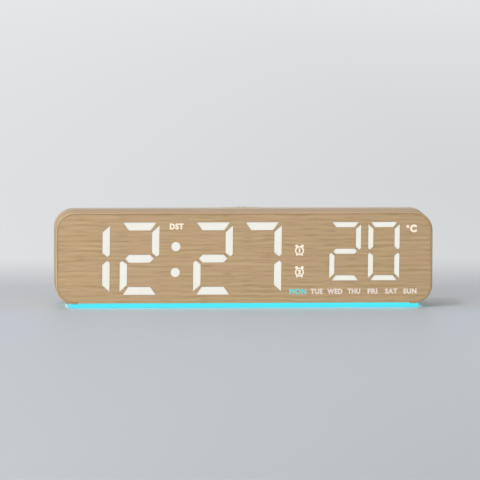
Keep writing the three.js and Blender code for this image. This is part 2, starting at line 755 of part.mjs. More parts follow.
// Rear cover: the moulded back with openings for keys, socket, cell cap, sound, air and screws.
function rearCover() {
  const block = slab(outline(0), [seamY - 2 * rearFillet, rearY], {
    edge: rearFillet,
    edgeSteps: rearFilletSteps,
  });
  const ahead = box([-bodyWidth, bodyWidth], [frontY, seamY], [0, topZ + overrun]);
  const hollow = slab(outline(coverWall), [seamY - overrun, coverInnerY]);
  const shell = without(block, [ahead, hollow]);
  const postY = [seamY, coverInnerY + coverWall / 2];
  const corners = coverScrewPlaces.map(([x, z]) => rodY(coverPostRadius, x, z, postY));
  const boardPostY = [controlRearY, coverInnerY + coverWall / 2];
  const boardPosts = controlScrewPlaces.map(([x, z]) => rodY(controlPostRadius, x, z, boardPostY));
  const wellY = [coverInnerY - wellDepth, coverInnerY + coverWall / 2];
  const well = rodY(capRadius + wellWall, cellX, cellZ, wellY, roundSides);
  const body = joined([shell, ...coverLips(), ...corners, ...boardPosts, well]);

  const throughY = [seamY - overrun, rearY + overrun];
  const wallY = [coverInnerY - overrun, rearY + overrun];
  const pill = (width, height, gap, x, z) =>
    roundedRect(width + 2 * gap, height + 2 * gap, height / 2 + gap, x, z);
  const keyHoles = keyPlaces.map(({ x }) =>
    slab(pill(keyWidth, keyHeight, runningGap, x, keyZ), wallY, { curveSegments: pillSteps }),
  );
  const socketShape = pill(socketWidth, socketHeight, fit, socketX, socketZ);
  const socketHole = slab(socketShape, wallY, { curveSegments: pillSteps });
  const capSeatY = [rearY - capFlange, rearY + overrun];
  const capSeat = rodY(capRadius + runningGap, cellX, cellZ, capSeatY, roundSides);
  const capBore = rodY(capNeckRadius + runningGap, cellX, cellZ, throughY, roundSides);
  const wellBore = rodY(capRadius, cellX, cellZ, [seamY, coverInnerY], roundSides);
  const lugWays = capLugs(capOpenTurn, throughY, capLugRadius + runningGap, capLugWidth + 2 * runningGap);
  const soundHoles = [
    rodY(buzzerHoleRadius, buzzerX, buzzerZ, wallY, tinySides),
    ...Array.from({ length: buzzerHoleCount }, (_, i) => {
      const angle = (i * 2 * Math.PI) / buzzerHoleCount;
      const x = buzzerX + buzzerHoleCircle * Math.cos(angle);
      return rodY(buzzerHoleRadius, x, buzzerZ + buzzerHoleCircle * Math.sin(angle), wallY, tinySides);
    }),
  ];
  const vents = Array.from({ length: ventCount }, (_, i) => {
    const z = sensorZ + (i - (ventCount - 1) / 2) * ventPitch;
    return box(around(sensorX, ventLength), wallY, around(z, ventHeight));
  });
  const holes = coverScrewPlaces.map(([x, z]) => rodY(screwRadius + screwGap, x, z, throughY, tinySides));
  const sinkY = [coverSeatY, rearY + overrun];
  const sinks = coverScrewPlaces.map(([x, z]) => rodY(screwHeadRadius + fit, x, z, sinkY));
  const boardHoleY = [controlRearY - overrun, controlRearY + boardScrewLength];
  const boardHoles = controlScrewPlaces.map(([x, z]) =>
    rodY(screwRadius + screwGap, x, z, boardHoleY, tinySides),
  );
  const snoozeShape = roundedRect(...snoozeWindow, snoozeCorner, 0, snoozeY);
  const snoozeHole = plate(snoozeShape, [topZ - coverWall - overrun, topZ + overrun]);
  return without(body, [
    ...keyHoles,
    socketHole,
    capSeat,
    capBore,
    wellBore,
    lugWays,
    ...soundHoles,
    ...vents,
    ...holes,
    ...sinks,
    ...boardHoles,
    snoozeHole,
  ]);
}

// A key on the back: a pill-shaped cap, a flange behind the wall and a stem that meets its switch.
function keyButton() {
  const flangeY = [coverInnerY - keyFlangeGap - keyFlangeThickness, coverInnerY - keyFlangeGap];
  const capY = [flangeY[0], rearY + keyProud];
  const cap = slab(roundedRect(keyWidth, keyHeight, keyHeight / 2), capY, {
    edge: keyEdge,
    curveSegments: pillSteps,
  });
  const width = keyWidth + 2 * keyFlangeLip;
  const height = keyHeight + 2 * keyFlangeLip;
  const flange = slab(roundedRect(width, height, height / 2), flangeY, {
    curveSegments: flangeSteps,
  });
  const stem = rodY(keyStemRadius, 0, 0, [keyStemTipY, flangeY[1]], tinySides);
  return joined([cap, flange, stem]);
}

// A push switch that stands on the control board and points backwards.
function keySwitch() {
  const body = box(around(0, switchSide), [controlRearY, controlRearY + switchBody], around(0, switchSide));
  return body.add(rodY(switchPlungerRadius, 0, 0, [controlRearY, controlRearY + switchHeight]));
}

const snoozePlungerY = controlRearY + switchSide / 2;

// Snooze button: a low bar with two fine ribs for the finger, a flange and a stem.
function snoozeButton() {
  const flangeTop = topZ - coverWall - snoozeFlangeGap;
  const flangeZ = [flangeTop - snoozeFlangeThickness, flangeTop];
  const barTop = topZ + snoozeProud;
  const barShape = roundedRect(snoozeWidth, snoozeDepth, snoozeCorner, 0, snoozeY);
  const bar = plate(barShape, [flangeZ[0], barTop], { edge: snoozeEdge });
  const width = snoozeWidth + 2 * snoozeFlangeLip;
  const depth = snoozeDepth + 2 * snoozeFlangeLip;
  const flange = plate(roundedRect(width, depth, snoozeCorner, 0, snoozeY), flangeZ);
  const stem = rodZ(keyStemRadius, 0, snoozePlungerY, [snoozeTipZ, flangeTop]);
  const ribs = [-1, 1].map((side) =>
    box(
      around((side * snoozeRibSpacing) / 2, snoozeRibWidth),
      around(snoozeY, snoozeDepth - 2 * snoozeCorner),
      [barTop - snoozeEdge, barTop + snoozeRibHeight],
    ),
  );
  return joined([bar, flange, stem, ...ribs]);
}

// The switch under the snooze button, at the board's upper edge, pointing up.
function snoozeSwitch() {
  const y = [controlRearY, controlRearY + switchSide];
  const body = box(around(0, switchSide), y, [controlTopZ - snoozeSwitchHeight, controlTopZ]);
  const plungerZ = [controlTopZ - snoozeSwitchHeight / 2, snoozePlungerZ];
  return body.add(rodZ(switchPlungerRadius, 0, snoozePlungerY, plungerZ));
}

// Control board: it hangs on the cover's posts and carries the chip and two cable connectors.
function controlBoard() {
  const half = spanX(controlHalfShare);
  const board = box([-half, half], [controlFrontY, controlRearY], [controlBottomZ, controlTopZ]);
  const connectorY = [controlFrontY - connectorDepth, controlFrontY + boardThickness / 2];
  const ribbonPlug = connector(ribbonX, ribbonWidth, connectorY, [ribbonTopZ - connectorHeight, ribbonTopZ]);
  const lightPlug = connector(lightCableX, lightCableWidth, connectorY, lightConnectorZ);
  const chipY = [controlFrontY - chipHeight, controlFrontY + boardThickness / 2];
  const chip = box(around(spanX(chipXShare), chipSide), chipY, around(middleZ, chipSide));
  const holeY = [controlFrontY - overrun, controlRearY + overrun];
  const holes = controlScrewPlaces.map(([x, z]) => rodY(screwRadius + screwGap, x, z, holeY, tinySides));
  return without(joined([board, ribbonPlug, lightPlug, chip]), holes);
}

// A flat cable: its edge view in Y and Z, drawn out along X.
function band(shape, [x0, x1]) {
  const settings = thickening(x1 - x0, { curveSegments: cableSteps });
  const geometry = new THREE.ExtrudeGeometry(shape, settings);
  return solid(geometry.rotateX(Math.PI / 2).rotateZ(Math.PI / 2).translate(x0, 0, 0));
}

// Ribbon cable: up from one board, over in a half turn and down to the other.
function ribbonCable() {
  const frontLeg = displayRearY + connectorDepth / 2;
  const rearLeg = controlFrontY - connectorDepth / 2;
  const half = ribbonThickness / 2;
  const radius = (rearLeg - frontLeg) / 2;
  const bendY = (frontLeg + rearLeg) / 2;
  const bendZ = ribbonTopZ + ribbonRise;
  const shape = new THREE.Shape();
  shape.moveTo(frontLeg - half, ribbonTopZ);
  shape.lineTo(frontLeg - half, bendZ);
  shape.absarc(bendY, bendZ, radius + half, Math.PI, 0, true);
  shape.lineTo(rearLeg + half, ribbonTopZ);
  shape.lineTo(rearLeg - half, ribbonTopZ);
  shape.absarc(bendY, bendZ, radius - half, 0, Math.PI, false);
  shape.lineTo(frontLeg + half, ribbonTopZ);
  return band(shape, around(ribbonX, ribbonWidth));
}

// Light cable: from the light board's rear edge back along the floor and up to the control board.
function lightCable() {
  const half = ledBoardThickness / 2;
  const levelZ = railTopZ + half;
  const legY = controlFrontY - connectorDepth / 2;
  const radius = lightConnectorZ[0] - levelZ;
  const bendY = legY - radius;
  const bendZ = lightConnectorZ[0];
  const shape = new THREE.Shape();
  shape.moveTo(barRearY, levelZ - half);
  shape.lineTo(bendY, levelZ - half);
  shape.absarc(bendY, bendZ, radius + half, -Math.PI / 2, 0, false);
  shape.lineTo(legY - half, bendZ);
  shape.absarc(bendY, bendZ, radius - half, 0, -Math.PI / 2, true);
  shape.lineTo(barRearY, levelZ + half);
  return band(shape, around(lightCableX, lightCableWidth));
}

// Buzzer: a round can with a sound hole.
function buzzer() {
  const topY = controlRearY + buzzerHeight;
  const can = rodY(buzzerRadius, buzzerX, buzzerZ, [controlRearY, topY], roundSides);
  return can.subtract(rodY(buzzerHoleRadius, buzzerX, buzzerZ, [topY - buzzerHeight / 2, topY + overrun]));
}

// Temperature sensor: a small block behind the air slots.
function temperatureSensor() {
  const y = [controlRearY, controlRearY + sensorHeight];
  return box(around(sensorX, sensorWidth), y, around(sensorZ, sensorDepth));
}

// Power socket: a steel shell with a tongue in it, on a moulded base.
function powerSocket() {
  const mouthY = rearY - socketBackset;
  const baseY = [controlRearY, controlRearY + socketBaseHeight];
  const lip = 2 * socketBaseLip;
  const base = box(around(socketX, socketWidth + lip), baseY, around(socketZ, socketHeight + lip));
  const shellShape = roundedRect(socketWidth, socketHeight, socketHeight / 2, socketX, socketZ);
  const shell = slab(shellShape, [controlRearY, mouthY], { curveSegments: pillSteps });
  const boreWidth = socketWidth - 2 * socketShell;
  const boreHeight = socketHeight - 2 * socketShell;
  const boreShape = roundedRect(boreWidth, boreHeight, boreHeight / 2, socketX, socketZ);
  const bore = slab(boreShape, [baseY[1], mouthY + overrun], { curveSegments: pillSteps });
  const tongue = box(
    around(socketX, socketTongueWidth),
    [baseY[0], mouthY - socketTongueBackset],
    around(socketZ, socketTongueHeight),
  );
  return joined([base, shell]).subtract(bore).add(tongue);
}

// Cell holder: a round tray on the control board.
function cellHolder() {
  const outer = cellRadius + fit + cellHolderWall;
  const tray = rodY(outer, cellX, cellZ, [controlRearY, cellRearY - cellProud], roundSides);
  return tray.subtract(rodY(cellRadius + fit, cellX, cellZ, [holderFloorY, rearY], roundSides));
}

function cellContact() {
  return box(around(cellX, cellRadius), [holderFloorY, cellFrontY], around(cellZ, contactWidth));
}

function coinCell() {
  return rodY(cellRadius, cellX, cellZ, [cellFrontY, cellRearY], roundSides);
}

function foot() {
  return rodZ(footRadius, 0, 0, [0, footProud + footSeat], roundSides);
}

// Copies of one piece, each a mesh of its own in its own place.
function copies(stem, form, material, places, turn = [0, 0, 0]) {
  return places.map((place, i) => {
    const mesh = piece(`${stem}_${i + 1}`, form, material);
    mesh.position.set(...place);
    mesh.rotation.set(...turn);
    return mesh;
  });
}

function group(name, meshes) {
  const made = new THREE.Group();
  made.name = name;
  made.add(...meshes);
  return made;
}

const front = group("front", [
  piece("housing_sleeve", housingSleeve(), wood),
  piece("wood_face", woodFace(), wood),
  piece("display_lens", displayLens(), milk),
  piece("reflector_box", reflectorBox(), whitePlastic),
  piece("display_board", displayBoard(), greenBoard),
  piece("ribbon_cable", ribbonCable(), greyCable),
  ...copies(
    "display_screw",
    screw(displayScrewLength),
    steel,
    displayScrewPlaces.map(([x, z]) => [x, displayRearY, z]),
    [0, 0, Math.PI],
  ),
]);

const back = group("back", [
  piece("rear_cover", rearCover(), cream),
  piece("control_board", controlBoard(), greenBoard),
  piece("power_socket", powerSocket(), steel),
  piece("buzzer", buzzer(), blackPlastic),
  piece("temperature_sensor", temperatureSensor(), blackPlastic),
  piece("cell_holder", cellHolder(), blackPlastic),
  piece("cell_contact", cellContact(), steel),
  piece("coin_cell", coinCell(), steel),
  piece("battery_cap", batteryCap(), cream),
  piece("snooze_switch", snoozeSwitch(), blackPlastic),
  piece("snooze_button", snoozeButton(), cream),
  ...copies(
    "cover_screw",
    screw(coverScrewLength),
    steel,
    coverScrewPlaces.map(([x, z]) => [x, coverSeatY, z]),
    [0, 0, Math.PI],
  ),
  ...copies(
    "board_screw",
    screw(boardScrewLength),
    steel,
    controlScrewPlaces.map(([x, z]) => [x, controlFrontY, z]),
  ),
]);

const keys = group(
  "keys",
  keyPlaces.flatMap(({ name, x }) => {
    const button = piece(`${name}_button`, keyButton(), cream);
    const contact = piece(`${name}_switch`, keySwitch(), blackPlastic);
    button.position.set(x, 0, keyZ);
    contact.position.set(x, 0, keyZ);
    return [button, contact];
  }),
);

const base = group("base", [
  piece("base_plate", basePlate(), cream),
  piece("light_bar", lightBar(), glow),
  piece("light_board", lightBoard(), whiteBoard),
  piece("light_cable", lightCable(), greyCable),
  ...copies(
    "base_screw",
    screw(baseScrewLength),
    steel,
    baseScrewXs.map((x) => [x, basePostY, footProud + screwHeadHeight]),
    [Math.PI / 2, 0, 0],
  ),
  ...copies(
    "foot",
    foot(),
    rubber,
    footPlaces.map(([x, y]) => [x, y, 0]),
  ),
]);

const clock = new THREE.Group();
clock.name = "desk_clock";
clock.add(front, back, keys, base);

export default clock;
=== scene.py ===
"""Dresses the frame of a digital desk clock and sets its studio.

The clock is a wood-wrapped bar with a lit seven-segment face and a glowing strip under its front edge.
Shapes are drawn in millimetres, +Z up, with the front facing -Y, and brought to metres when they are done.
"""

from __future__ import annotations

import json
import logging
import math
from dataclasses import dataclass
from enum import Enum
from typing import Callable, Iterable, Sequence

import bmesh
import bpy
from mathutils import Matrix, Vector

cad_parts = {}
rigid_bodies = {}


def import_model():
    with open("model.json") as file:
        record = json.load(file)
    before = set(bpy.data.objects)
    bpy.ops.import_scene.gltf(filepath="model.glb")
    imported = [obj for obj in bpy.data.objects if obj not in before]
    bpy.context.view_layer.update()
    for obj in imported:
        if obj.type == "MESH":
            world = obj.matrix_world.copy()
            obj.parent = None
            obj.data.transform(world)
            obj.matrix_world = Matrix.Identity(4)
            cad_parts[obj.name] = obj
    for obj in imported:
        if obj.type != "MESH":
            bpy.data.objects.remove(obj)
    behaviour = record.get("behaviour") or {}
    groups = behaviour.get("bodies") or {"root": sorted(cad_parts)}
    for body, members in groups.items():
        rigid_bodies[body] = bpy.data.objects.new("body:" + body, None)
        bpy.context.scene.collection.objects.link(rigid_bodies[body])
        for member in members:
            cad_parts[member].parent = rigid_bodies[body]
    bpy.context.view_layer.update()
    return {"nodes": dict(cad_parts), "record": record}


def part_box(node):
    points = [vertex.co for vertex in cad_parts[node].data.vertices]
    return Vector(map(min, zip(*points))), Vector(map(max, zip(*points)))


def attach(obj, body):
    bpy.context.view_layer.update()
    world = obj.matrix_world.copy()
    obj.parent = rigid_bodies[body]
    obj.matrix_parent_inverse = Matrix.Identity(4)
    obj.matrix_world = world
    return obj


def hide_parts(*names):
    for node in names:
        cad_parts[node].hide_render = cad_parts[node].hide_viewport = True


LOG = logging.getLogger("desk_clock")
MM = 0.001
WELD = 1e-4  # vertices nearer than this, in millimetres, are one
OVERRUN = 1.0  # how far a cutter runs past the faces that it opens
CAP_SHARE = 0.682  # a capital's height in Blender's own font, as a share of the font size
LETTER_SPACE = 1.12  # room between letters, as a share of the font's own
WAVE_PERIOD = 0.314  # distance between two bands of the wave texture at scale 1
SHARP_ANGLE = 35.0  # edges that turn by more than this many degrees stay sharp
LEAST_CORNER = 0.05  # a corner that is drawn in keeps this radius

Point = tuple[float, float]
Level = tuple[float, float]
Outline = Callable[[float], list[Point]]
Material = bpy.types.Material
Mesh = bpy.types.Mesh
Object = bpy.types.Object
Socket = bpy.types.NodeSocket
Tree = bpy.types.NodeTree


class Axis(Enum):
    """The direction in which a solid's cross-sections are stacked."""

    Y = "y"
    Z = "z"

    def place(self, a: float, b: float, level: float) -> Vector:
        """The point of a cross-section drawn in X and the other axis, at a level."""
        return Vector((a, level, b)) if self is Axis.Y else Vector((a, b, level))


class Facing(Enum):
    """The side that a flat sheet, drawn in X and Y, turns to once it stands up."""

    FRONT = Matrix.Rotation(math.pi / 2, 4, "X")
    BACK = Matrix.Rotation(math.pi, 4, "Z") @ Matrix.Rotation(math.pi / 2, 4, "X")


# Flat shapes


def arc(centre: Point, radius: float, start: float, end: float, steps: int) -> list[Point]:
    """Points of an arc from one angle to another, in degrees, both ends included."""
    angles = [math.radians(start + (end - start) * i / steps) for i in range(steps + 1)]
    return [(centre[0] + radius * math.cos(t), centre[1] + radius * math.sin(t)) for t in angles]


def circle(radius: float, steps: int, centre: Point = (0.0, 0.0)) -> list[Point]:
    """Points of a circle, counter-clockwise."""
    return arc(centre, radius, 0, 360, steps)[:-1]


def round_outline(radius: float, centre: Point, steps: int = 32) -> Outline:
    """A round outline, for an inset."""
    return lambda inset: circle(radius - inset, steps, centre)


def rounded(
    width: float, height: float, radius: float, steps: int, centre: Point = (0.0, 0.0)
) -> list[Point]:
    """Points of a rectangle with round corners, counter-clockwise from the middle of its lower side.

    Args:
        width: Size along the first axis.
        height: Size along the second axis.
        radius: Radius of its corners.
        steps: Number of steps in a corner.
        centre: Its middle.

    Returns:
        The points.
    """
    x, y = width / 2 - radius, height / 2 - radius
    corners = [(x, -y, -90), (x, y, 0), (-x, y, 90), (-x, -y, 180)]
    points = [(centre[0], centre[1] - height / 2)]
    for corner_x, corner_y, start in corners:
        middle = (centre[0] + corner_x, centre[1] + corner_y)
        points += arc(middle, radius, start, start + 90, steps)
    return points


def shrunk(points: Sequence[Point], distance: float) -> list[Point]:
    """A convex polygon with every side moved in.

    Args:
        points: Its corners, counter-clockwise.
        distance: How far each side moves.

    Returns:
        The new corners.
    """
    sides = []
    for (x, y), (next_x, next_y) in zip(points, [*points[1:], points[0]]):
        length = math.hypot(next_x - x, next_y - y)
        normal = (-(next_y - y) / length, (next_x - x) / length)
        sides.append((normal, normal[0] * x + normal[1] * y + distance))
    moved = []
    for (before, near), (after, far) in zip([sides[-1], *sides[:-1]], sides):
        cross = before[0] * after[1] - before[1] * after[0]
        x = (near * after[1] - far * before[1]) / cross
        y = (before[0] * far - after[0] * near) / cross
        moved.append((x, y))
    return moved


def eased(points: Sequence[Point], reach: float) -> list[Point]:
    """A polygon whose corners are replaced by short curves.

    Args:
        points: Its corners.
        reach: How far from a corner its curve starts.

    Returns:
        Three points for each corner.
    """
    curved = []
    for before, corner, after in zip([points[-1], *points[:-1]], points, [*points[1:], points[0]]):
        ends = []
        for other in (before, after):
            share = reach / math.dist(other, corner)
            ends.append(tuple(c + (o - c) * share for c, o in zip(corner, other)))
        middle = tuple((a + 2 * c + b) / 4 for a, c, b in zip(ends[0], corner, ends[1]))
        curved += [ends[0], middle, ends[1]]
    return curved


def quarter_turn(steps: int) -> list[float]:
    """Even steps through a quarter turn, in radians, both ends included."""
    return [math.pi / 2 * i / steps for i in range(steps + 1)]


def soft_edge(end: float, radius: float, side: int, steps: int = 4) -> list[Level]:
    """(level, inset) pairs that round the rim of a solid's end, in rising order of level.

    Args:
        end: Level of the end face.
        radius: Radius of the rim.
        side: 1 at the solid's far end, -1 at its near one.
        steps: Number of steps in the quarter turn.

    Returns:
        The pairs, with both ends of the turn.
    """
    pairs = []
    for turn in quarter_turn(steps):
        level = end - side * radius * (1 - math.sin(turn))
        pairs.append((level, radius * (1 - math.cos(turn))))
    return pairs if side > 0 else pairs[::-1]


# Solids


def mesh_from(bm: bmesh.types.BMesh, name: str) -> Mesh:
    """A closed mesh with merged doubles and its faces pointing out.

    Args:
        bm: The working mesh, which is freed.
        name: The new mesh's name.

    Returns:
        The new mesh.
    """
    bmesh.ops.remove_doubles(bm, verts=bm.verts, dist=WELD)
    bmesh.ops.recalc_face_normals(bm, faces=bm.faces)
    mesh = bpy.data.meshes.new(name)
    bm.to_mesh(mesh)
    bm.free()
    return mesh


def layered(outline: Outline, profile: Sequence[Level], axis: Axis, looped: bool = False) -> Mesh:
    """A solid whose cross-sections are one outline, drawn in by the profile's insets.

    Args:
        outline: Gives the points of the cross-section for an inset.
        profile: (level, inset) pairs from one end to the other.
        axis: The direction of the levels.
        looped: True for a tube, whose last cross-section joins its first.

    Returns:
        A closed mesh in millimetres.
    """
    bm = bmesh.new()
    rings = [[bm.verts.new(axis.place(a, b, level)) for a, b in outline(inset)] for level, inset in profile]
    pairs = list(zip(rings, rings[1:]))
    if looped:
        pairs.append((rings[-1], rings[0]))
    else:
        bm.faces.new(rings[0])
        bm.faces.new(rings[-1])
    for near, far in pairs:
        for i, vert in enumerate(near):
            following = (i + 1) % len(near)
            bm.faces.new((vert, near[following], far[following], far[i]))
    return mesh_from(bm, "layered")


def turned(profile: Sequence[Level], centre: Point, axis: Axis, steps: int = 48) -> Mesh:
    """A solid of revolution. The profile holds (level, radius) pairs from one end to the other."""
    return layered(lambda radius: circle(radius, steps, centre), profile, axis)


def block(low: Sequence[float], high: Sequence[float], edge: float = 0.0) -> Mesh:
    """A box with soft edges.

    Args:
        low: Its lowest corner.
        high: Its highest corner.
        edge: Radius of its edges. Zero leaves them sharp.

    Returns:
        A closed mesh.
    """
    bm = bmesh.new()
    size = [top - bottom for bottom, top in zip(low, high)]
    middle = [(top + bottom) / 2 for bottom, top in zip(low, high)]
    bmesh.ops.create_cube(bm, size=1.0, matrix=Matrix.Translation(middle) @ Matrix.Diagonal((*size, 1.0)))
    if edge > 0:
        bmesh.ops.bevel(bm, geom=bm.edges[:], offset=edge, segments=3, profile=0.5, affect="EDGES")
    return mesh_from(bm, "block")


def holding(data: bpy.types.ID, name: str = "holder") -> Object:
    """A new object in the scene.

    Args:
        data: The mesh, curve or text that it holds.
        name: Its name.

    Returns:
        The object, at the origin.
    """
    holder = bpy.data.objects.new(name, data)
    bpy.context.scene.collection.objects.link(holder)
    return holder


def discard(holder: Object) -> None:
    """Removes an object and what it holds.

    Args:
        holder: An object that holds a mesh, curve or text.
    """
    data = holder.data
    bpy.data.objects.remove(holder)
    (bpy.data.meshes if isinstance(data, Mesh) else bpy.data.curves).remove(data)


def evaluated(holder: Object) -> Mesh:
    """A plain mesh of what an object's modifiers make.

    Args:
        holder: The object, which is removed with its own data.

    Returns:
        The new mesh.
    """
    bpy.context.view_layer.update()
    graph = bpy.context.evaluated_depsgraph_get()
    mesh = bpy.data.meshes.new_from_object(holder.evaluated_get(graph))
    discard(holder)
    return mesh


def flat_curve(loops: Sequence[Sequence[Point]], fill: str) -> bpy.types.Curve:
    """A flat curve of closed loops.

    Args:
        loops: Points of each loop.
        fill: Its fill mode.

    Returns:
        The curve, drawn in X and Y.
    """
    curve = bpy.data.curves.new("loops", "CURVE")
    curve.dimensions = "2D"
    curve.fill_mode = fill
    for loop in loops:
        spline = curve.splines.new("POLY")
        spline.points.add(len(loop) - 1)
        for point, (x, y) in zip(spline.points, loop):
            point.co = (x, y, 0.0, 1.0)
        spline.use_cyclic_u = True
    return curve


def plate(loops: Sequence[Sequence[Point]], thickness: float, edge: float = 0.0) -> Mesh:
    """A flat sheet drawn in X and Y.

    Args:
        loops: Its outline and the outlines of its holes.
        thickness: Its thickness, half of it on each side of Z = 0.
        edge: Width of its broken edges.

    Returns:
        A closed mesh.
    """
    curve = flat_curve(loops, "BOTH")
    curve.extrude = thickness / 2 - edge
    curve.bevel_depth = edge
    curve.bevel_resolution = 1
    curve.offset = -edge
    return welded(evaluated(holding(curve)))


def stood(mesh: Mesh, place: Sequence[float], facing: Facing = Facing.FRONT) -> Mesh:
    """The same flat sheet, stood up with its middle at a place."""
    mesh.transform(Matrix.Translation(place) @ facing.value)
    return mesh


def welded(mesh: Mesh) -> Mesh:
    """A mesh with its doubles merged, its faces pointing out and no UV map.

    Args:
        mesh: The mesh, which is removed.

    Returns:
        The new mesh.
    """
    while mesh.uv_layers:
        mesh.uv_layers.remove(mesh.uv_layers[0])
    bm = bmesh.new()
    bm.from_mesh(mesh)
    bpy.data.meshes.remove(mesh)
    return mesh_from(bm, "welded")


def lettering(text: str, size: Point, thickness: float, weight: float = 0.1) -> Mesh:
    """Raised letters about the origin, drawn in X and Y.

    Args:
        text: What they say.
        size: Width of the whole and height of a capital. A width of zero keeps the font's own.
        thickness: Thickness along Z.
        weight: How far each stroke grows outwards.

    Returns:
        A closed mesh.
    """
    width, height = size
    curve = bpy.data.curves.new("lettering", "FONT")
    curve.body = text
    curve.size = (height - 2 * weight) / CAP_SHARE
    curve.space_character = LETTER_SPACE
    curve.bevel_depth = weight
    curve.bevel_resolution = 1
    curve.resolution_u = 4
    mesh = welded(evaluated(holding(curve)))
    xs = [v.co.x for v in mesh.vertices]
    low, high = min(xs), max(xs)
    scale = width / (high - low) if width else 1.0
    flat = Matrix.Diagonal((scale, 1.0, thickness / (2 * weight), 1.0))
    mesh.transform(flat @ Matrix.Translation((-(low + high) / 2, weight - height / 2, 0.0)))
    return mesh


def merged(meshes: Iterable[Mesh]) -> Mesh:
    """One mesh that holds several.

    Args:
        meshes: The meshes, which are removed.

    Returns:
        The new mesh, in which each is still closed in itself.
    """
    bm = bmesh.new()
    for mesh in meshes:
        bm.from_mesh(mesh)
        bpy.data.meshes.remove(mesh)
    mesh = bpy.data.meshes.new("merged")
    bm.to_mesh(mesh)
    bm.free()
    return mesh


def carved(mesh: Mesh, cutters: Iterable[Mesh]) -> Mesh:
    """A solid with others taken out of it.

    Args:
        mesh: The solid, which is removed.
        cutters: What is taken out of it, removed too.

    Returns:
        A closed mesh.
    """
    target = holding(mesh, "target")
    tools = [holding(cutter, "cutter") for cutter in cutters]
    for tool in tools:
        cut = target.modifiers.new("cut", "BOOLEAN")
        cut.operation = "DIFFERENCE"
        cut.solver = "EXACT"
        cut.object = tool
    result = evaluated(target)
    for tool in tools:
        discard(tool)
    return result


def mouth(outline: Outline, surface: float, depth: float, rim: float, axis: Axis, side: int = 1) -> Mesh:
    """A cutter for a hole with a softly broken rim.

    Args:
        outline: Gives the hole's outline for an inset.
        surface: Level of the face that the hole opens.
        depth: Level of the hole's end.
        rim: Radius of the rim.
        axis: The hole's direction.
        side: 1 where the face looks towards higher levels.

    Returns:
        The cutter.
    """
    turns = quarter_turn(3)
    flare = [(surface - side * rim * (1 - math.cos(t)), -rim * (1 - math.sin(t))) for t in turns]
    profile = [(surface + side * OVERRUN, -rim), *flare, (depth, 0.0)]
    return layered(outline, profile, axis)


# Node trees


def add_node(
    tree: Tree,
    kind: str,
    inputs: dict[str | int, object] | None = None,
    stops: Sequence[tuple[float, tuple[float, ...]]] = (),
    **settings: object,
) -> bpy.types.Node:
    """Adds a node to a tree.

    Args:
        tree: Shader or geometry node tree.
        kind: The node's type.
        inputs: Socket name or number to a value, or to the socket that feeds it.
        stops: (position, colour) pairs of a colour ramp.
        settings: The node's own properties.

    Returns:
        The new node.
    """
    node = tree.nodes.new(kind)
    for key, value in settings.items():
        setattr(node, key, value)
    for key, value in (inputs or {}).items():
        if isinstance(value, Socket):
            tree.links.new(value, node.inputs[key])
        else:
            node.inputs[key].default_value = value
    if stops:
        ramp = node.color_ramp.elements
        while len(ramp) < len(stops):
            ramp.new(0.5)
        for element, (position, color) in zip(ramp, stops):
            element.position = position
            element.color = color
    return node


def linear(code: str) -> tuple[float, ...]:
    """The linear colour of an sRGB hex code."""
    channels = [int(code[i : i + 2], 16) / 255 for i in (1, 3, 5)]
    return (*(c / 12.92 if c <= 0.04045 else ((c + 0.055) / 1.055) ** 2.4 for c in channels), 1.0)


def blank_material(name: str) -> tuple[Material, Tree, bpy.types.Node]:
    """A new material.

    Args:
        name: Its name.

    Returns:
        The material, its tree and its surface node.
    """
    material = bpy.data.materials.new(name)
    material.use_nodes = True
    return material, material.node_tree, material.node_tree.nodes["Principled BSDF"]


def geometry_tree(name: str, sockets: dict[str, str]) -> tuple[Tree, bpy.types.Node]:
    """An empty Geometry Nodes tree.

    Args:
        name: Its name.
        sockets: Name and type of each input.

    Returns:
        The tree and its input node.
    """
    tree = bpy.data.node_groups.new(name, "GeometryNodeTree")
    for socket, kind in sockets.items():
        tree.interface.new_socket(name=socket, in_out="INPUT", socket_type=kind)
    tree.interface.new_socket(name="Geometry", in_out="OUTPUT", socket_type="NodeSocketGeometry")
    return tree, add_node(tree, "NodeGroupInput")


def close_tree(tree: Tree, given: bpy.types.Node, geometry: Socket) -> None:
    """Ends a tree in Realize Instances and Set Material.

    Args:
        tree: The tree.
        given: Its input node, with an input named Finish.
        geometry: What it has made.
    """
    real = add_node(tree, "GeometryNodeRealizeInstances", {"Geometry": geometry})
    inputs = {"Geometry": real.outputs[0], "Material": given.outputs["Finish"]}
    dressed = add_node(tree, "GeometryNodeSetMaterial", inputs)
    add_node(tree, "NodeGroupOutput", {0: dressed.outputs[0]})


def close_in_copies(tree: Tree, given: bpy.types.Node, points: Socket) -> None:
    """Ends a tree in copies of an object.

    Args:
        tree: The tree.
        given: Its input node, with inputs named Piece and Finish.
        points: Where the copies stand.
    """
    piece = add_node(tree, "GeometryNodeObjectInfo", {"Object": given.outputs["Piece"]})
    inputs = {"Points": points, "Instance": piece.outputs["Geometry"]}
    placed = add_node(tree, "GeometryNodeInstanceOnPoints", inputs)
    close_tree(tree, given, placed.outputs[0])


def copies_tree() -> Tree:
    """Puts a copy of one object on every point of the mesh that it is given.

    Returns:
        The tree.
    """
    kinds = {
        "Points": "NodeSocketGeometry",
        "Piece": "NodeSocketObject",
        "Finish": "NodeSocketMaterial",
    }
    tree, given = geometry_tree("copies on points", kinds)
    close_in_copies(tree, given, given.outputs["Points"])
    return tree


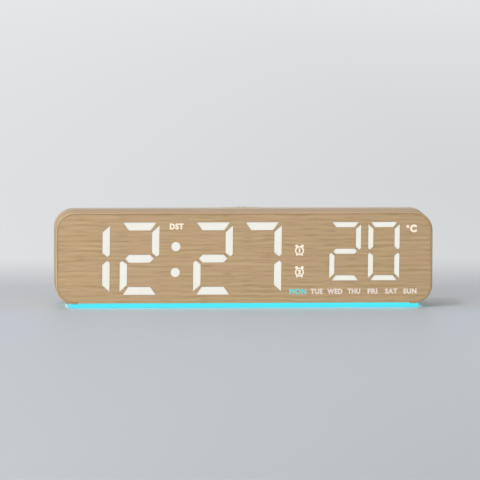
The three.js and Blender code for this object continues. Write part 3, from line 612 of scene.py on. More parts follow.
def row_tree() -> Tree:
    """Puts copies of one object in an even row along X, about the origin.

    Returns:
        The tree.
    """
    kinds = {
        "Piece": "NodeSocketObject",
        "Count": "NodeSocketInt",
        "Pitch": "NodeSocketFloat",
        "Finish": "NodeSocketMaterial",
    }
    tree, given = geometry_tree("even row", kinds)
    gaps = add_node(tree, "ShaderNodeMath", {0: given.outputs["Count"], 1: 1.0}, operation="SUBTRACT")
    inputs = {0: gaps.outputs[0], 1: given.outputs["Pitch"]}
    span = add_node(tree, "ShaderNodeMath", inputs, operation="MULTIPLY")
    half = add_node(tree, "ShaderNodeMath", {0: span.outputs[0], 1: -0.5}, operation="MULTIPLY")
    start = add_node(tree, "ShaderNodeCombineXYZ", {"X": half.outputs[0]})
    step = add_node(tree, "ShaderNodeCombineXYZ", {"X": given.outputs["Pitch"]})
    inputs = {
        "Count": given.outputs["Count"],
        "Start Location": start.outputs[0],
        "Offset": step.outputs[0],
    }
    line = add_node(tree, "GeometryNodeMeshLine", inputs)
    close_in_copies(tree, given, line.outputs[0])
    return tree


def sleeve_tree() -> Tree:
    """Sweeps a closed profile along a rectangle with round corners that stands in X and Z.

    The profile's X runs outwards from the path and its Y runs back, towards +Y.

    Returns:
        The tree.
    """
    kinds = {
        "Profile": "NodeSocketObject",
        "Width": "NodeSocketFloat",
        "Height": "NodeSocketFloat",
        "Corner": "NodeSocketFloat",
        "Corner Steps": "NodeSocketInt",
        "Middle": "NodeSocketVector",
        "Finish": "NodeSocketMaterial",
    }
    tree, given = geometry_tree("swept sleeve", kinds)
    inputs = {"Width": given.outputs["Width"], "Height": given.outputs["Height"]}
    path = add_node(tree, "GeometryNodeCurvePrimitiveQuadrilateral", inputs)
    inputs = {
        "Curve": path.outputs[0],
        "Count": given.outputs["Corner Steps"],
        "Radius": given.outputs["Corner"],
    }
    bent = add_node(tree, "GeometryNodeFilletCurve", inputs, mode="POLY")
    profile = add_node(tree, "GeometryNodeObjectInfo", {"Object": given.outputs["Profile"]})
    inputs = {"Curve": bent.outputs[0], "Profile Curve": profile.outputs["Geometry"]}
    swept = add_node(tree, "GeometryNodeCurveToMesh", inputs)
    inputs = {
        "Geometry": swept.outputs[0],
        "Translation": given.outputs["Middle"],
        "Rotation": (math.pi / 2, 0.0, 0.0),
    }
    upright = add_node(tree, "GeometryNodeTransform", inputs)
    close_tree(tree, given, upright.outputs[0])
    return tree


def grown(tree: Tree, inputs: dict[str, object], points: Sequence[Vector] = ()) -> Mesh:
    """A plain mesh of what a Geometry Nodes tree makes.

    Args:
        tree: The tree.
        inputs: Value of each of its named inputs.
        points: Points that it is given as its geometry.

    Returns:
        The mesh. Objects among the inputs are removed.
    """
    base = bpy.data.meshes.new("points")
    base.from_pydata([tuple(point) for point in points], [], [])
    holder = holding(base)
    modifier = holder.modifiers.new("nodes", "NODES")
    modifier.node_group = tree
    for item in tree.interface.items_tree:
        if item.in_out == "INPUT" and item.name in inputs:
            modifier[item.identifier] = inputs[item.name]
    mesh = evaluated(holder)
    for value in inputs.values():
        if isinstance(value, Object):
            discard(value)
    return mesh


# Finishes


PATTERN_ENDS = (0.3, 0.7)  # values of a pattern that show a finish's main colour and its second one
GLOSS_SWING = 0.04  # how far a pattern moves the roughness
BUMP_STRENGTH = 0.6
BRUSH_SHARE = 0.06  # how fast a brushed pattern changes along its lines, beside across them
MASK_LEVELS = {"Color1": 0.1, "Color2": 0.25, "Mortar": 0.9}  # a board's fields, and the tracks between them
MASK_SIZES = {"Mortar Size": 0.06, "Brick Width": 3.0, "Row Height": 0.5}  # in grains


class Making(Enum):
    """How a surface was made, which gives its fine pattern."""

    SMOOTH = "smooth"
    SPARK_TEXTURED = "spark textured"
    BRUSHED = "brushed"
    PLATED = "plated"
    MASKED = "masked"


@dataclass(frozen=True)
class Finish:
    """One real surface other than the wood: its colours, its gloss and the pattern that its making leaves.

    Attributes:
        name: Its common name and making.
        slot: The record's material slot.
        color: Main colour.
        shade: Second colour, which the pattern mixes in.
        roughness: Mean roughness. The pattern moves it by a few hundredths.
        metallic: 1 for a metal.
        ior: Index of refraction. A metal keeps the default.
        making: How the surface was made.
        grain: Real size of the pattern, in millimetres.
        relief: Height of the pattern, in millimetres.
        glow: Light that it gives off, if it is lit from behind.
        glow_shade: The same where the lamps behind it are further off.
        coat: Weight of a clear coat.
    """

    name: str
    slot: str
    color: str
    shade: str
    roughness: float
    metallic: float = 0.0
    ior: float = 1.5
    making: Making = Making.SMOOTH
    grain: float = 1.0
    relief: float = 0.0
    glow: str = ""
    glow_shade: str = ""
    coat: float = 0.0

    def stops(self, first: str, second: str) -> list[tuple[float, tuple[float, ...]]]:
        """Stops of a colour ramp that the pattern takes from one hex colour to another."""
        return [(end, linear(code)) for end, code in zip(PATTERN_ENDS, (first, second))]

    def build(self) -> Material:
        """The finish as a procedural material.

        Returns:
            The material.
        """
        material, tree, surface = blank_material(self.name)
        surface.inputs["Metallic"].default_value = self.metallic
        surface.inputs["IOR"].default_value = self.ior
        surface.inputs["Coat Weight"].default_value = self.coat
        place = add_node(tree, "ShaderNodeTexCoord").outputs["Object"]
        pattern = self.pattern(tree, place)
        ramp = self.stops(self.color, self.shade)
        color = add_node(tree, "ShaderNodeValToRGB", {"Fac": pattern}, ramp)
        tree.links.new(color.outputs[0], surface.inputs["Base Color"])
        low, high = self.roughness - GLOSS_SWING, self.roughness + GLOSS_SWING
        gloss = add_node(tree, "ShaderNodeMapRange", {"Value": pattern, "To Min": low, "To Max": high})
        tree.links.new(gloss.outputs[0], surface.inputs["Roughness"])
        if self.relief:
            inputs = {"Height": pattern, "Distance": self.relief * MM, "Strength": BUMP_STRENGTH}
            bump = add_node(tree, "ShaderNodeBump", inputs)
            tree.links.new(bump.outputs[0], surface.inputs["Normal"])
        if self.glow:
            surface.inputs["Emission Strength"].default_value = 1.0
            ramp = self.stops(self.glow, self.glow_shade)
            light = add_node(tree, "ShaderNodeValToRGB", {"Fac": pattern}, ramp)
            tree.links.new(light.outputs[0], surface.inputs["Emission Color"])
        return material

    def pattern(self, tree: Tree, place: Socket) -> Socket:
        """The fine pattern that the making leaves.

        Args:
            tree: The material's tree.
            place: Object coordinates.

        Returns:
            A value from 0 to 1.
        """
        stretch = (BRUSH_SHARE if self.making is Making.BRUSHED else 1.0, 1.0, 1.0)
        scale = [share / (self.grain * MM) for share in stretch]
        scaled = add_node(tree, "ShaderNodeMapping", {"Vector": place, "Scale": scale}).outputs[0]
        if self.making is Making.PLATED:
            inputs = {"Vector": scaled, "Scale": 1.0}
            return add_node(tree, "ShaderNodeTexVoronoi", inputs, feature="SMOOTH_F1").outputs["Distance"]
        if self.making is Making.MASKED:
            levels = {socket: (level, level, level, 1.0) for socket, level in MASK_LEVELS.items()}
            inputs = {"Vector": scaled, "Scale": 1.0, **levels, **MASK_SIZES}
            return add_node(tree, "ShaderNodeTexBrick", inputs).outputs["Color"]
        inputs = {"Vector": scaled, "Scale": 1.0, "Detail": 3.0, "Roughness": 0.6}
        return add_node(tree, "ShaderNodeTexNoise", inputs).outputs["Fac"]


@dataclass(frozen=True)
class Layer:
    """One layer of the wood's grain: noise drawn out along it. Run and width in millimetres."""

    name: str
    run: float
    width: float
    detail: float


@dataclass(frozen=True)
class WoodFilm:
    """Oak-look paper foil under a satin coat: straight fine grain with short dark pores, printed to scale.

    Attributes:
        name: Its common name.
        slot: The record's material slot.
        light: Early wood.
        middle: Mean colour.
        dark: Late wood.
        pore: Colour of the pores.
        rosy: The pinkish cast that parts of the sheet have.
        tone_stops: Values of the grain that show the dark, the mean and the light colour.
        sway_run: Length of the grain's slow waves, in millimetres.
        sway_width: Width over which they change.
        drift: How far they move the grain sideways.
        line_pitch: Distance between two dark growth lines.
        line_waver: How unevenly the lines run.
        line_stretch: How fast they change along the grain, beside across it.
        line_range: Noise values between which a line grows from its weakest to its full strength.
        line_least: A line's weakest strength.
        band: Width of a soft growth band.
        band_run: Length along which a band keeps its width.
        band_share: The bands' share beside the lines.
        fibre: Width of the fine streaks, drawn as wide as the render can show.
        fibre_run: Their length.
        fibre_share: The fine streaks' share beside both.
        cast_run: Length of a pinkish part.
        cast_width: Its width.
        cast_range: Noise values between which the cast grows.
        cast_depth: How strongly it shows.
        pore_width: Width of a pore, drawn as wide as the render can show.
        pore_run: Length of a pore.
        pore_range: Noise values between which a pore's colour grows.
        pore_depth: How strongly it shows.
        gloss: Roughness of late and of early wood.
        relief: Height of the printed grain.
        ior: Index of refraction.
        coat: Weight and roughness of the satin coat.
        seed: Sets one sheet apart from another.
    """

    name: str
    slot: str
    light: str = "#c6a981"
    middle: str = "#bb9e74"
    dark: str = "#ad8f64"
    pore: str = "#9a7c56"
    rosy: str = "#be9d79"
    tone_stops: tuple[float, float, float] = (0.25, 0.5, 0.75)
    sway_run: float = 30.0
    sway_width: float = 14.0
    drift: float = 1.0
    line_pitch: float = 2.7
    line_waver: float = 2.2
    line_stretch: float = 0.25
    line_range: Point = (0.35, 0.6)
    line_least: float = 0.15
    band: float = 1.8
    band_run: float = 60.0
    band_share: float = 0.45
    fibre: float = 0.8
    fibre_run: float = 30.0
    fibre_share: float = 0.3
    cast_run: float = 30.0
    cast_width: float = 5.0
    cast_range: Point = (0.4, 0.65)
    cast_depth: float = 0.7
    pore_width: float = 0.55
    pore_run: float = 11.0
    pore_range: Point = (0.64, 0.78)
    pore_depth: float = 0.5
    gloss: Point = (0.62, 0.48)
    relief: float = 0.04
    ior: float = 1.48
    coat: Point = (0.06, 0.45)
    seed: float = 0.0

    def build(self) -> Material:
        """The foil as a procedural material on the piece's own UV map.

        Returns:
            The material. It takes the map in metres, with U along the grain.
        """
        material, tree, surface = blank_material(self.name)
        surface.inputs["IOR"].default_value = self.ior
        surface.inputs["Coat Weight"].default_value = self.coat[0]
        surface.inputs["Coat Roughness"].default_value = self.coat[1]
        inputs = {
            "Vector": add_node(tree, "ShaderNodeUVMap").outputs[0],
            "Scale": (1 / MM, 1 / MM, 1.0),
            "Location": (self.seed, self.seed, 0.0),
        }
        place = add_node(tree, "ShaderNodeMapping", inputs).outputs[0]
        streaks, grain = self.streaks(tree, place)
        masks = self.masks(tree, streaks)
        inputs = {0: masks["breaks"], 2: 0.5, 3: self.lines(tree, grain)}
        broken = add_node(tree, "ShaderNodeMix", inputs, data_type="FLOAT").outputs[0]
        inputs = {0: self.band_share, 2: broken, 3: streaks["bands"]}
        banded = add_node(tree, "ShaderNodeMix", inputs, data_type="FLOAT").outputs[0]
        inputs = {0: self.fibre_share, 2: banded, 3: streaks["fibres"]}
        mixed = add_node(tree, "ShaderNodeMix", inputs, data_type="FLOAT").outputs[0]
        tree.links.new(self.tone(tree, mixed, masks), surface.inputs["Base Color"])

        inputs = {"Value": mixed, "To Min": self.gloss[0], "To Max": self.gloss[1]}
        gloss = add_node(tree, "ShaderNodeMapRange", inputs)
        tree.links.new(gloss.outputs[0], surface.inputs["Roughness"])
        inputs = {0: mixed, 1: masks["pores"]}
        height = add_node(tree, "ShaderNodeMath", inputs, operation="SUBTRACT").outputs[0]
        inputs = {"Height": height, "Distance": self.relief * MM, "Strength": 0.5}
        bump = add_node(tree, "ShaderNodeBump", inputs)
        tree.links.new(bump.outputs[0], surface.inputs["Normal"])
        return material

    def layers(self) -> list[Layer]:
        """The grain's layers.

        Returns:
            A list whose first layer bends those that follow.
        """
        return [
            Layer("sway", self.sway_run, self.sway_width, 1.0),
            Layer("breaks", self.band_run / 2, self.line_pitch, 1.0),
            Layer("bands", self.band_run, self.band, 3.0),
            Layer("fibres", self.fibre_run, self.fibre, 2.0),
            Layer("cast", self.cast_run, self.cast_width, 1.0),
            Layer("pores", self.pore_run, self.pore_width, 0.0),
        ]

    def streaks(self, tree: Tree, place: Socket) -> tuple[dict[str, Socket], Socket]:
        """Noise for each layer of the grain.

        Args:
            tree: The material's tree.
            place: The place on the sheet, in millimetres.

        Returns:
            Each layer's value by its name, and the place that the slow waves have bent.
        """
        values: dict[str, Socket] = {}
        grain = place
        for layer in self.layers():
            scale = (1 / layer.run, 1 / layer.width, 1.0)
            scaled = add_node(tree, "ShaderNodeMapping", {"Vector": grain, "Scale": scale}).outputs[0]
            inputs = {"Vector": scaled, "Scale": 1.0, "Detail": layer.detail, "Roughness": 0.55}
            noise = add_node(tree, "ShaderNodeTexNoise", inputs, noise_dimensions="2D").outputs["Fac"]
            values[layer.name] = noise
            if layer.name == "sway":
                inputs = {"Value": noise, "To Min": -self.drift, "To Max": self.drift}
                sideways = add_node(tree, "ShaderNodeMapRange", inputs).outputs[0]
                inputs = {0: place, 1: add_node(tree, "ShaderNodeCombineXYZ", {"Y": sideways}).outputs[0]}
                grain = add_node(tree, "ShaderNodeVectorMath", inputs, operation="ADD").outputs[0]
        return values, grain

    def masks(self, tree: Tree, streaks: dict[str, Socket]) -> dict[str, Socket]:
        """Where the lines are strong, where the cast shows and where the pores are.

        Args:
            tree: The material's tree.
            streaks: Each layer's value.

        Returns:
            The strength of each, under its layer's name.
        """
        ranges = {
            "breaks": (self.line_range, self.line_least, 1.0),
            "cast": (self.cast_range, 0.0, self.cast_depth),
            "pores": (self.pore_range, 0.0, self.pore_depth),
        }
        strengths = {}
        for name, ((low, high), least, most) in ranges.items():
            inputs = {"Value": streaks[name], "From Min": low, "From Max": high}
            inputs |= {"To Min": least, "To Max": most}
            strengths[name] = add_node(tree, "ShaderNodeMapRange", inputs).outputs[0]
        return strengths

    def lines(self, tree: Tree, grain: Socket) -> Socket:
        """The growth lines.

        Args:
            tree: The material's tree.
            grain: The bent place on the sheet, in millimetres.

        Returns:
            A value from 0 to 1.
        """
        scale = (self.line_stretch, 1.0, 1.0)
        inputs = {
            "Vector": add_node(tree, "ShaderNodeMapping", {"Vector": grain, "Scale": scale}).outputs[0],
            "Scale": WAVE_PERIOD / self.line_pitch,
            "Distortion": self.line_waver,
            "Detail": 2.0,
            "Detail Scale": 1.6,
        }
        return add_node(tree, "ShaderNodeTexWave", inputs, bands_direction="Y").outputs["Fac"]

    def tone(self, tree: Tree, mixed: Socket, masks: dict[str, Socket]) -> Socket:
        """The wood's colour.

        Args:
            tree: The material's tree.
            mixed: The grain's value.
            masks: Strength of the cast and of the pores.

        Returns:
            The colour.
        """
        codes = (self.dark, self.middle, self.light)
        stops = [(stop, linear(code)) for stop, code in zip(self.tone_stops, codes)]
        color = add_node(tree, "ShaderNodeValToRGB", {"Fac": mixed}, stops).outputs[0]
        for name, code in (("cast", self.rosy), ("pores", self.pore)):
            inputs = {0: masks[name], 6: color, 7: linear(code)}
            color = add_node(tree, "ShaderNodeMix", inputs, data_type="RGBA").outputs[2]
        return color


class Finishes:
    """The clock's finishes, each built once."""

    def __init__(self) -> None:
        """Names every finish of the clock."""
        self.known: dict[str, Finish | WoodFilm] = {
            # Paper foil with a printed oak grain under a satin coat: matt, warm, streaky.
            "wrap": WoodFilm("oak foil, wrapped", "wood_wrap"),
            # The same foil on the thin front sheet. Fine dark pores break its straight grain.
            "sheet": WoodFilm("oak foil, flat sheet", "wood_sheet", seed=37.0),
            # Opal polycarbonate lit from behind: an even warm white.
            "lit": Finish(
                "opal polycarbonate, lit", "lit_lens", "#2a2926", "#2d2c29", 0.4, ior=1.58, grain=6.0,
                glow="#edece3", glow_shade="#e9e7dd",
            ),
            # The same sheet, thinner and printed, so that less light comes through.
            "lit_print": Finish(
                "opal polycarbonate, lit print", "lit_lens", "#2a2926", "#2d2c29", 0.5, ior=1.58, grain=3.0,
                glow="#e4d7cb", glow_shade="#ddcec1",
            ),
            # The marks in the same print: brighter than the words and creamier than the digits.
            "lit_mark": Finish(
                "opal polycarbonate, lit mark", "lit_lens", "#2a2926", "#2d2c29", 0.5, ior=1.58, grain=3.0,
                glow="#f8eddb", glow_shade="#f4e7d2",
            ),
            # The weekday that is on: the same print in front of a turquoise lamp.
            "lit_turquoise": Finish(
                "opal polycarbonate, lit turquoise", "glow_bar", "#1b2b2b", "#1c2d2d", 0.5, ior=1.58,
                grain=3.0, glow="#66d6da", glow_shade="#5fcbd0",
            ),
            # Opal polycarbonate sheet, moulded: milky white with a soft gloss.
            "opal": Finish(
                "opal polycarbonate, moulded", "lit_lens", "#e9e2d2", "#e4dccb", 0.38, ior=1.58, grain=3.0,
            ),
            # White polystyrene, moulded: the light wells' bright matt white.
            "white": Finish(
                "white polystyrene, moulded", "white_plastic", "#efeeea", "#e8e7e2", 0.5, ior=1.59,
                grain=1.2, relief=0.01,
            ),
            # Epoxy board under green solder mask: tracks show as raised paler lines.
            "board": Finish(
                "circuit board, green mask", "circuit_board", "#1d5a37", "#2f7d4e", 0.35,
                making=Making.MASKED, grain=2.4, relief=0.03,
            ),
            # The lamp boards' white mask, which throws the light forward.
            "white_board": Finish(
                "circuit board, white mask", "white_board", "#e9e8e1", "#d8d7cf", 0.4, making=Making.MASKED,
                grain=2.4, relief=0.03,
            ),
            # PVC ribbon: soft, matt, with a fine drawn texture along the wires.
            "ribbon": Finish(
                "PVC ribbon, drawn", "cable", "#9a9da1", "#83868a", 0.55, making=Making.BRUSHED, grain=1.2,
            ),
            # Zinc-plated steel, barrel plated: bluish grey with a fine spangle.
            "zinc": Finish(
                "steel, zinc plated", "screw_steel", "#c3c6c9", "#a9adb1", 0.32, metallic=1.0,
                making=Making.PLATED, grain=0.5, relief=0.01,
            ),
            # Nickel-plated steel strip, stamped: even satin metal.
            "nickel": Finish(
                "steel, nickel plated", "socket_steel", "#cfcdc8", "#bdbab4", 0.26, metallic=1.0,
                making=Making.BRUSHED, grain=0.4, relief=0.005,
            ),
            # Gold flash on the contacts: a thin warm gloss.
            "gold": Finish(
                "copper, gold plated", "socket_steel", "#e3b765", "#d6a553", 0.25, metallic=1.0, grain=0.6,
            ),
            # Stainless steel can, turned and brushed.
            "stainless": Finish(
                "stainless steel, brushed", "cell_steel", "#cfcfce", "#b9b9b8", 0.28, metallic=1.0,
                making=Making.BRUSHED, grain=0.5, relief=0.005,
            ),
            # Glass-filled nylon, moulded black: dull with a faint mottle.
            "black": Finish(
                "black nylon, moulded", "black_plastic", "#202124", "#28292c", 0.55, grain=0.8, relief=0.01,
            ),
            # ABS from a spark-eroded mould: warm cream with a fine grit, drawn at twice its size.
            "cream": Finish(
                "cream ABS, spark textured", "cream_plastic", "#d0c3ac", "#c7b9a0", 0.52, ior=1.54,
                making=Making.SPARK_TEXTURED, grain=0.7, relief=0.02,
            ),
            # ABS from a polished mould: the keys' smoother, slightly darker satin.
            "key": Finish(
                "beige ABS, satin", "key_plastic", "#bfae92", "#b8a689", 0.36, ior=1.54, grain=2.0,
                relief=0.004, coat=0.1,
            ),
            # Pad-printed ink: thin, matt, dark brown-grey.
            "ink": Finish(
                "ink, pad printed", "black_plastic", "#5b5146", "#645a4e", 0.6, grain=0.4, relief=0.003,
            ),
            # Clear acrylic lit from inside: an even cyan with a glossy skin.
            "glow": Finish(
                "acrylic, lit cyan", "glow_bar", "#062a2e", "#083034", 0.3, ior=1.49, grain=9.0,
                glow="#48e9f8", glow_shade="#50e4f2",
            ),
            # Silicone rubber, moulded: dark, dull, slightly dusty.
            "rubber": Finish(
                "silicone rubber, moulded", "foot_rubber", "#2a2a2c", "#343437", 0.8, grain=0.9, relief=0.03,
            ),
        }
        self.built: dict[str, Material] = {}

    def __getitem__(self, key: str) -> Material:
        """The material of a named finish, built when it is first asked for.

        Args:
            key: The finish's key.

        Returns:
            The material.
        """
        if key not in self.built:
            self.built[key] = self.known[key].build()
        return self.built[key]

    def slot(self, key: str) -> str:
        """The record's slot of a named finish."""
        return self.known[key].slot


# The clock's sub-assemblies


@dataclass
class Levels:
    """Places that several sub-assemblies share, in millimetres, read from the frame."""

    half_width: float
    bottom: float
    top: float
    front: float
    seam: float
    rear: float
    face_front: float
    face_rear: float

    @classmethod
    def from_frame(cls) -> Levels:
        """Reads them from the boxes of the sleeve, the cover and the face.

        Returns:
            The levels.
        """
        low, high = node_box("housing_sleeve")
        rear = node_box("rear_cover")[1].y
        face_low, face_high = node_box("wood_face")
        return cls(high.x, low.z, high.z, low.y, high.y, rear, face_low.y, face_high.y)

    @property
    def middle(self) -> float:
        """Height of the housing's middle."""
        return (self.bottom + self.top) / 2


def node_box(name: str) -> tuple[Vector, Vector]:
    """Lowest and highest corner of a CAD node, in millimetres."""
    low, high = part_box(name)
    return low / MM, high / MM


def numbered(stem: str) -> list[str]:
    """Names of the four CAD nodes that share a stem."""
    return [f"{stem}_{i}" for i in range(1, 5)]


def node_middle(name: str) -> Vector:
    """Middle of a CAD node's box, in millimetres."""
    low, high = node_box(name)
    return (low + high) / 2


class Workshop:
    """Turns finished meshes into pieces that ride on the frame."""

    def __init__(self, finishes: Finishes) -> None:
        """Keeps the finishes and makes the shared node trees.

        Args:
            finishes: The clock's finishes.
        """
        self.finishes = finishes
        self.copies = copies_tree()
        self.row = row_tree()

    def add(
        self,
        name: str,
        mesh: Mesh,
        finish: str,
        body: str = "housing",
        replaces: Sequence[str] = (),
    ) -> None:
        """Adds a piece to the scene.

        Args:
            name: The piece's name.
            mesh: Its shape, in millimetres.
            finish: Key of its finish.
            body: The CAD body that it moves with.
            replaces: The CAD nodes that it stands for.
        """
        mesh.name = name
        mesh.transform(Matrix.Scale(MM, 4))
        if not mesh.materials or all(material is None for material in mesh.materials):
            mesh.materials.clear()
            mesh.materials.append(self.finishes[finish])
        mesh.shade_smooth()
        mesh.set_sharp_from_angle(angle=math.radians(SHARP_ANGLE))
        holder = holding(mesh)
        weighted = holder.modifiers.new("weighted", "WEIGHTED_NORMAL")
        weighted.keep_sharp = True
        piece = holding(evaluated(holder), name)
        piece.data.name = name
        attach(piece, body)
        self.finishes.slot(finish)
        if replaces:
            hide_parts(*replaces)
        LOG.info("%s: %d faces, %s, on %s", name, len(piece.data.polygons), finish, body)

    def add_copies(self, name: str, shape: Mesh, points: Sequence[Vector], finish: str, stem: str) -> None:
        """Adds a piece with a copy of a shape on every point, for the four nodes that share a stem."""
        mesh = grown(self.copies, {"Piece": holding(shape), "Finish": self.finishes[finish]}, points)
        self.add(name, mesh, finish, replaces=numbered(stem))

    def in_row(self, shape: Mesh, count: int, pitch: float, finish: str) -> Mesh:
        """A mesh with copies of a shape in a row along X, about the origin."""
        inputs = {"Piece": holding(shape), "Count": count, "Pitch": pitch, "Finish": self.finishes[finish]}
        return grown(self.row, inputs)


@dataclass
class Housing:
    """The wood-wrapped sleeve. Sizes in millimetres."""

    shop: Workshop
    levels: Levels
    corner: float = 10.0
    wall: float = 2.2
    lip: float = 1.0
    pocket_depth: float = 2.8
    front_edge: float = 0.8
    lip_edge: float = 0.12
    rear_edge: float = 0.18
    corner_steps: int = 20
    notch_half: float = 88.0
    notch_rear: float = -8.9

    def outline(self, inset: float) -> list[Point]:
        """The housing's outline in X and Z, drawn in by an inset."""
        size = 2 * (self.levels.half_width - inset), self.levels.top - self.levels.bottom - 2 * inset
        return rounded(*size, self.corner - inset, self.corner_steps, (0.0, self.levels.middle))

    def profile(self) -> list[Point]:
        """The wall's cross-section.

        Returns:
            (outwards, back) points, with zero on the outer surface.
        """
        front, seam = self.levels.front, self.levels.seam
        pocket, edge = front + self.pocket_depth, self.front_edge
        turns = quarter_turn(5)
        nose = [(-edge * (1 - math.cos(t)), front + edge * (1 - math.sin(t))) for t in turns]
        return [
            (-self.rear_edge, seam),
            (0.0, seam - self.rear_edge),
            *nose,
            (-self.lip + self.lip_edge, front),
            (-self.lip, front + self.lip_edge),
            (-self.lip, pocket),
            (-self.wall, pocket),
            (-self.wall, seam),
        ]

    def build(self) -> None:
        """Sweeps the sleeve, cuts the opening for the light bar and wraps it in foil."""
        levels = self.levels
        inputs = {
            "Profile": holding(flat_curve([self.profile()], "NONE")),
            "Width": 2 * levels.half_width,
            "Height": levels.top - levels.bottom,
            "Corner": self.corner,
            "Corner Steps": self.corner_steps,
            "Middle": (0.0, 0.0, levels.middle),
            "Finish": self.shop.finishes["wrap"],
        }
        tube = welded(grown(sleeve_tree(), inputs))
        slot = block(
            (-self.notch_half, levels.front - OVERRUN, levels.bottom - OVERRUN),
            (self.notch_half, self.notch_rear, levels.bottom + self.wall + OVERRUN),
        )
        sleeve = carved(tube, [slot])
        self.wrap(sleeve)
        self.shop.add("oak_sleeve", sleeve, "wrap", replaces=["housing_sleeve"])

    def wrap(self, mesh: Mesh) -> None:
        """Lays the foil round the sleeve.

        Args:
            mesh: The sleeve, whose new UV map is in metres: U runs round it and V from front to back.
        """
        levels, corner = self.levels, self.corner
        layer = mesh.uv_layers.new(name="UVMap")
        far_x, far_z = levels.half_width - corner, (levels.top - levels.bottom) / 2 - corner
        quarter = corner * math.pi / 2
        round_length = 4 * (far_x + far_z) + 4 * quarter
        starts = [far_x, far_x + quarter + 2 * far_z, 3 * far_x + 2 * (quarter + far_z)]
        starts.append(starts[2] + quarter + 2 * far_z)

        def along(point: Vector) -> tuple[float, float]:
            """Where a point lies on the foil.

            Args:
                point: A point of the sleeve, in millimetres.

            Returns:
                How far round the sleeve it lies, and how far in from the outer surface.
            """
            x, z = point.x, point.z - levels.middle
            side_x, side_z = abs(x) - far_x, abs(z) - far_z
            if side_x > 0 and side_z > 0:
                angle = math.atan2(side_z, side_x)
                rest = math.pi / 2 - angle
                corners = {(1, -1): (0, rest), (1, 1): (1, angle), (-1, 1): (2, rest), (-1, -1): (3, angle)}
                index, turn = corners[1 if x > 0 else -1, 1 if z > 0 else -1]
                return starts[index] + turn * corner, corner - math.hypot(side_x, side_z)
            if side_x > side_z:
                way = z + far_z if x > 0 else far_z - z
                return (starts[0] if x > 0 else starts[2]) + quarter + way, corner - side_x
            if z > 0:
                return starts[1] + quarter + far_x - x, corner - side_z
            return (x if x >= 0 else x + round_length), corner - side_z

        for polygon in mesh.polygons:
            spots = [along(mesh.vertices[i].co) for i in polygon.vertices]
            longest = max(u for u, _ in spots)
            for loop, vertex, (u, depth) in zip(polygon.loop_indices, polygon.vertices, spots):
                shift = round_length if longest - u > round_length / 2 else 0.0
                back = mesh.vertices[vertex].co.y - depth
                layer.data[loop].uv = ((u + shift) * MM, back * MM)


@dataclass(frozen=True)
class Stroke:
    """How the segments of a digit are cut, in millimetres.

    Attributes:
        upright: Width of an upright segment.
        level: Height of a level one.
        inset: How far a level segment's long side stops from the digit's edge.
        slope: How far its end slants in.
        drop: How far an upright segment's end stays from the digit's edge.
        shoulder: Height of its slanted end.
        gap: From the middle line to an upright segment's outer corner.
        tip: From the middle line to its tip.
        tip_in: From the digit's side to its tip.
        mid: From the digit's side to the middle segment's tip.
        lean: Height of the slant at an upright segment's inner end.
    """

    upright: float
    level: float
    inset: float
    slope: float
    drop: float
    shoulder: float
    gap: float
    tip: float
    tip_in: float
    mid: float
    lean: float

    def segments(self, width: float, height: float) -> dict[str, list[Point]]:
        """The seven segments of a digit.

        Args:
            width: The digit's width.
            height: Its height.

        Returns:
            Each segment's points by its letter, with the digit's lower left corner at zero.
        """
        mid, far, inner = height / 2, self.inset + self.slope, width - self.upright
        top = [(self.inset, height), (far, height - self.level), (width - far, height - self.level)]
        top.append((width - self.inset, height))
        right = [
            (width, height - self.drop),
            (inner, height - self.drop - self.shoulder),
            (inner, mid + self.tip + self.lean),
            (width - self.tip_in, mid + self.tip),
            (width, mid + self.gap),
        ]
        tip = width / 2 - self.mid
        shoulder, half = tip - self.level / 2, self.level / 2
        middle = [(-tip, 0.0), (-shoulder, -half), (shoulder, -half)]
        middle += [(tip, 0.0), (shoulder, half), (-shoulder, half)]

        def across_x(points: Sequence[Point]) -> list[Point]:
            """The mirror image from side to side."""
            return [(width - x, z) for x, z in reversed(points)]

        def across_z(points: Sequence[Point]) -> list[Point]:
            """The mirror image from top to bottom."""
            return [(x, height - z) for x, z in reversed(points)]

        return {
            "a": top,
            "b": right,
            "c": across_z(right),
            "d": across_z(top),
            "e": across_x(across_z(right)),
            "f": across_x(right),
            "g": [(width / 2 + x, mid + z) for x, z in middle],
        }


@dataclass(frozen=True)
class DigitRow:
    """Digits of one size, in millimetres. The rise is from the housing's underside."""

    name: str
    text: str
    lefts: tuple[float, ...]
    width: float
    rise: float
    stroke: Stroke


@dataclass(frozen=True)
class Legend:
    """A word on the face, in millimetres. Its place is its middle in X and above the housing's underside."""

    text: str
    place: Point
    size: Point
    weight: float
    finish: str = "lit_mark"


LIT = {"0": "abcdef", "1": "bc", "2": "abged", "7": "abc"}
BIG = Stroke(4.2, 4.45, 1.6, 3.1, 1.45, 3.8, 2.1, 0.87, 1.4, 2.8, 2.2)
SMALL = Stroke(3.0, 3.0, 1.25, 2.3, 1.0, 2.8, 1.6, 0.65, 1.0, 2.0, 1.7)


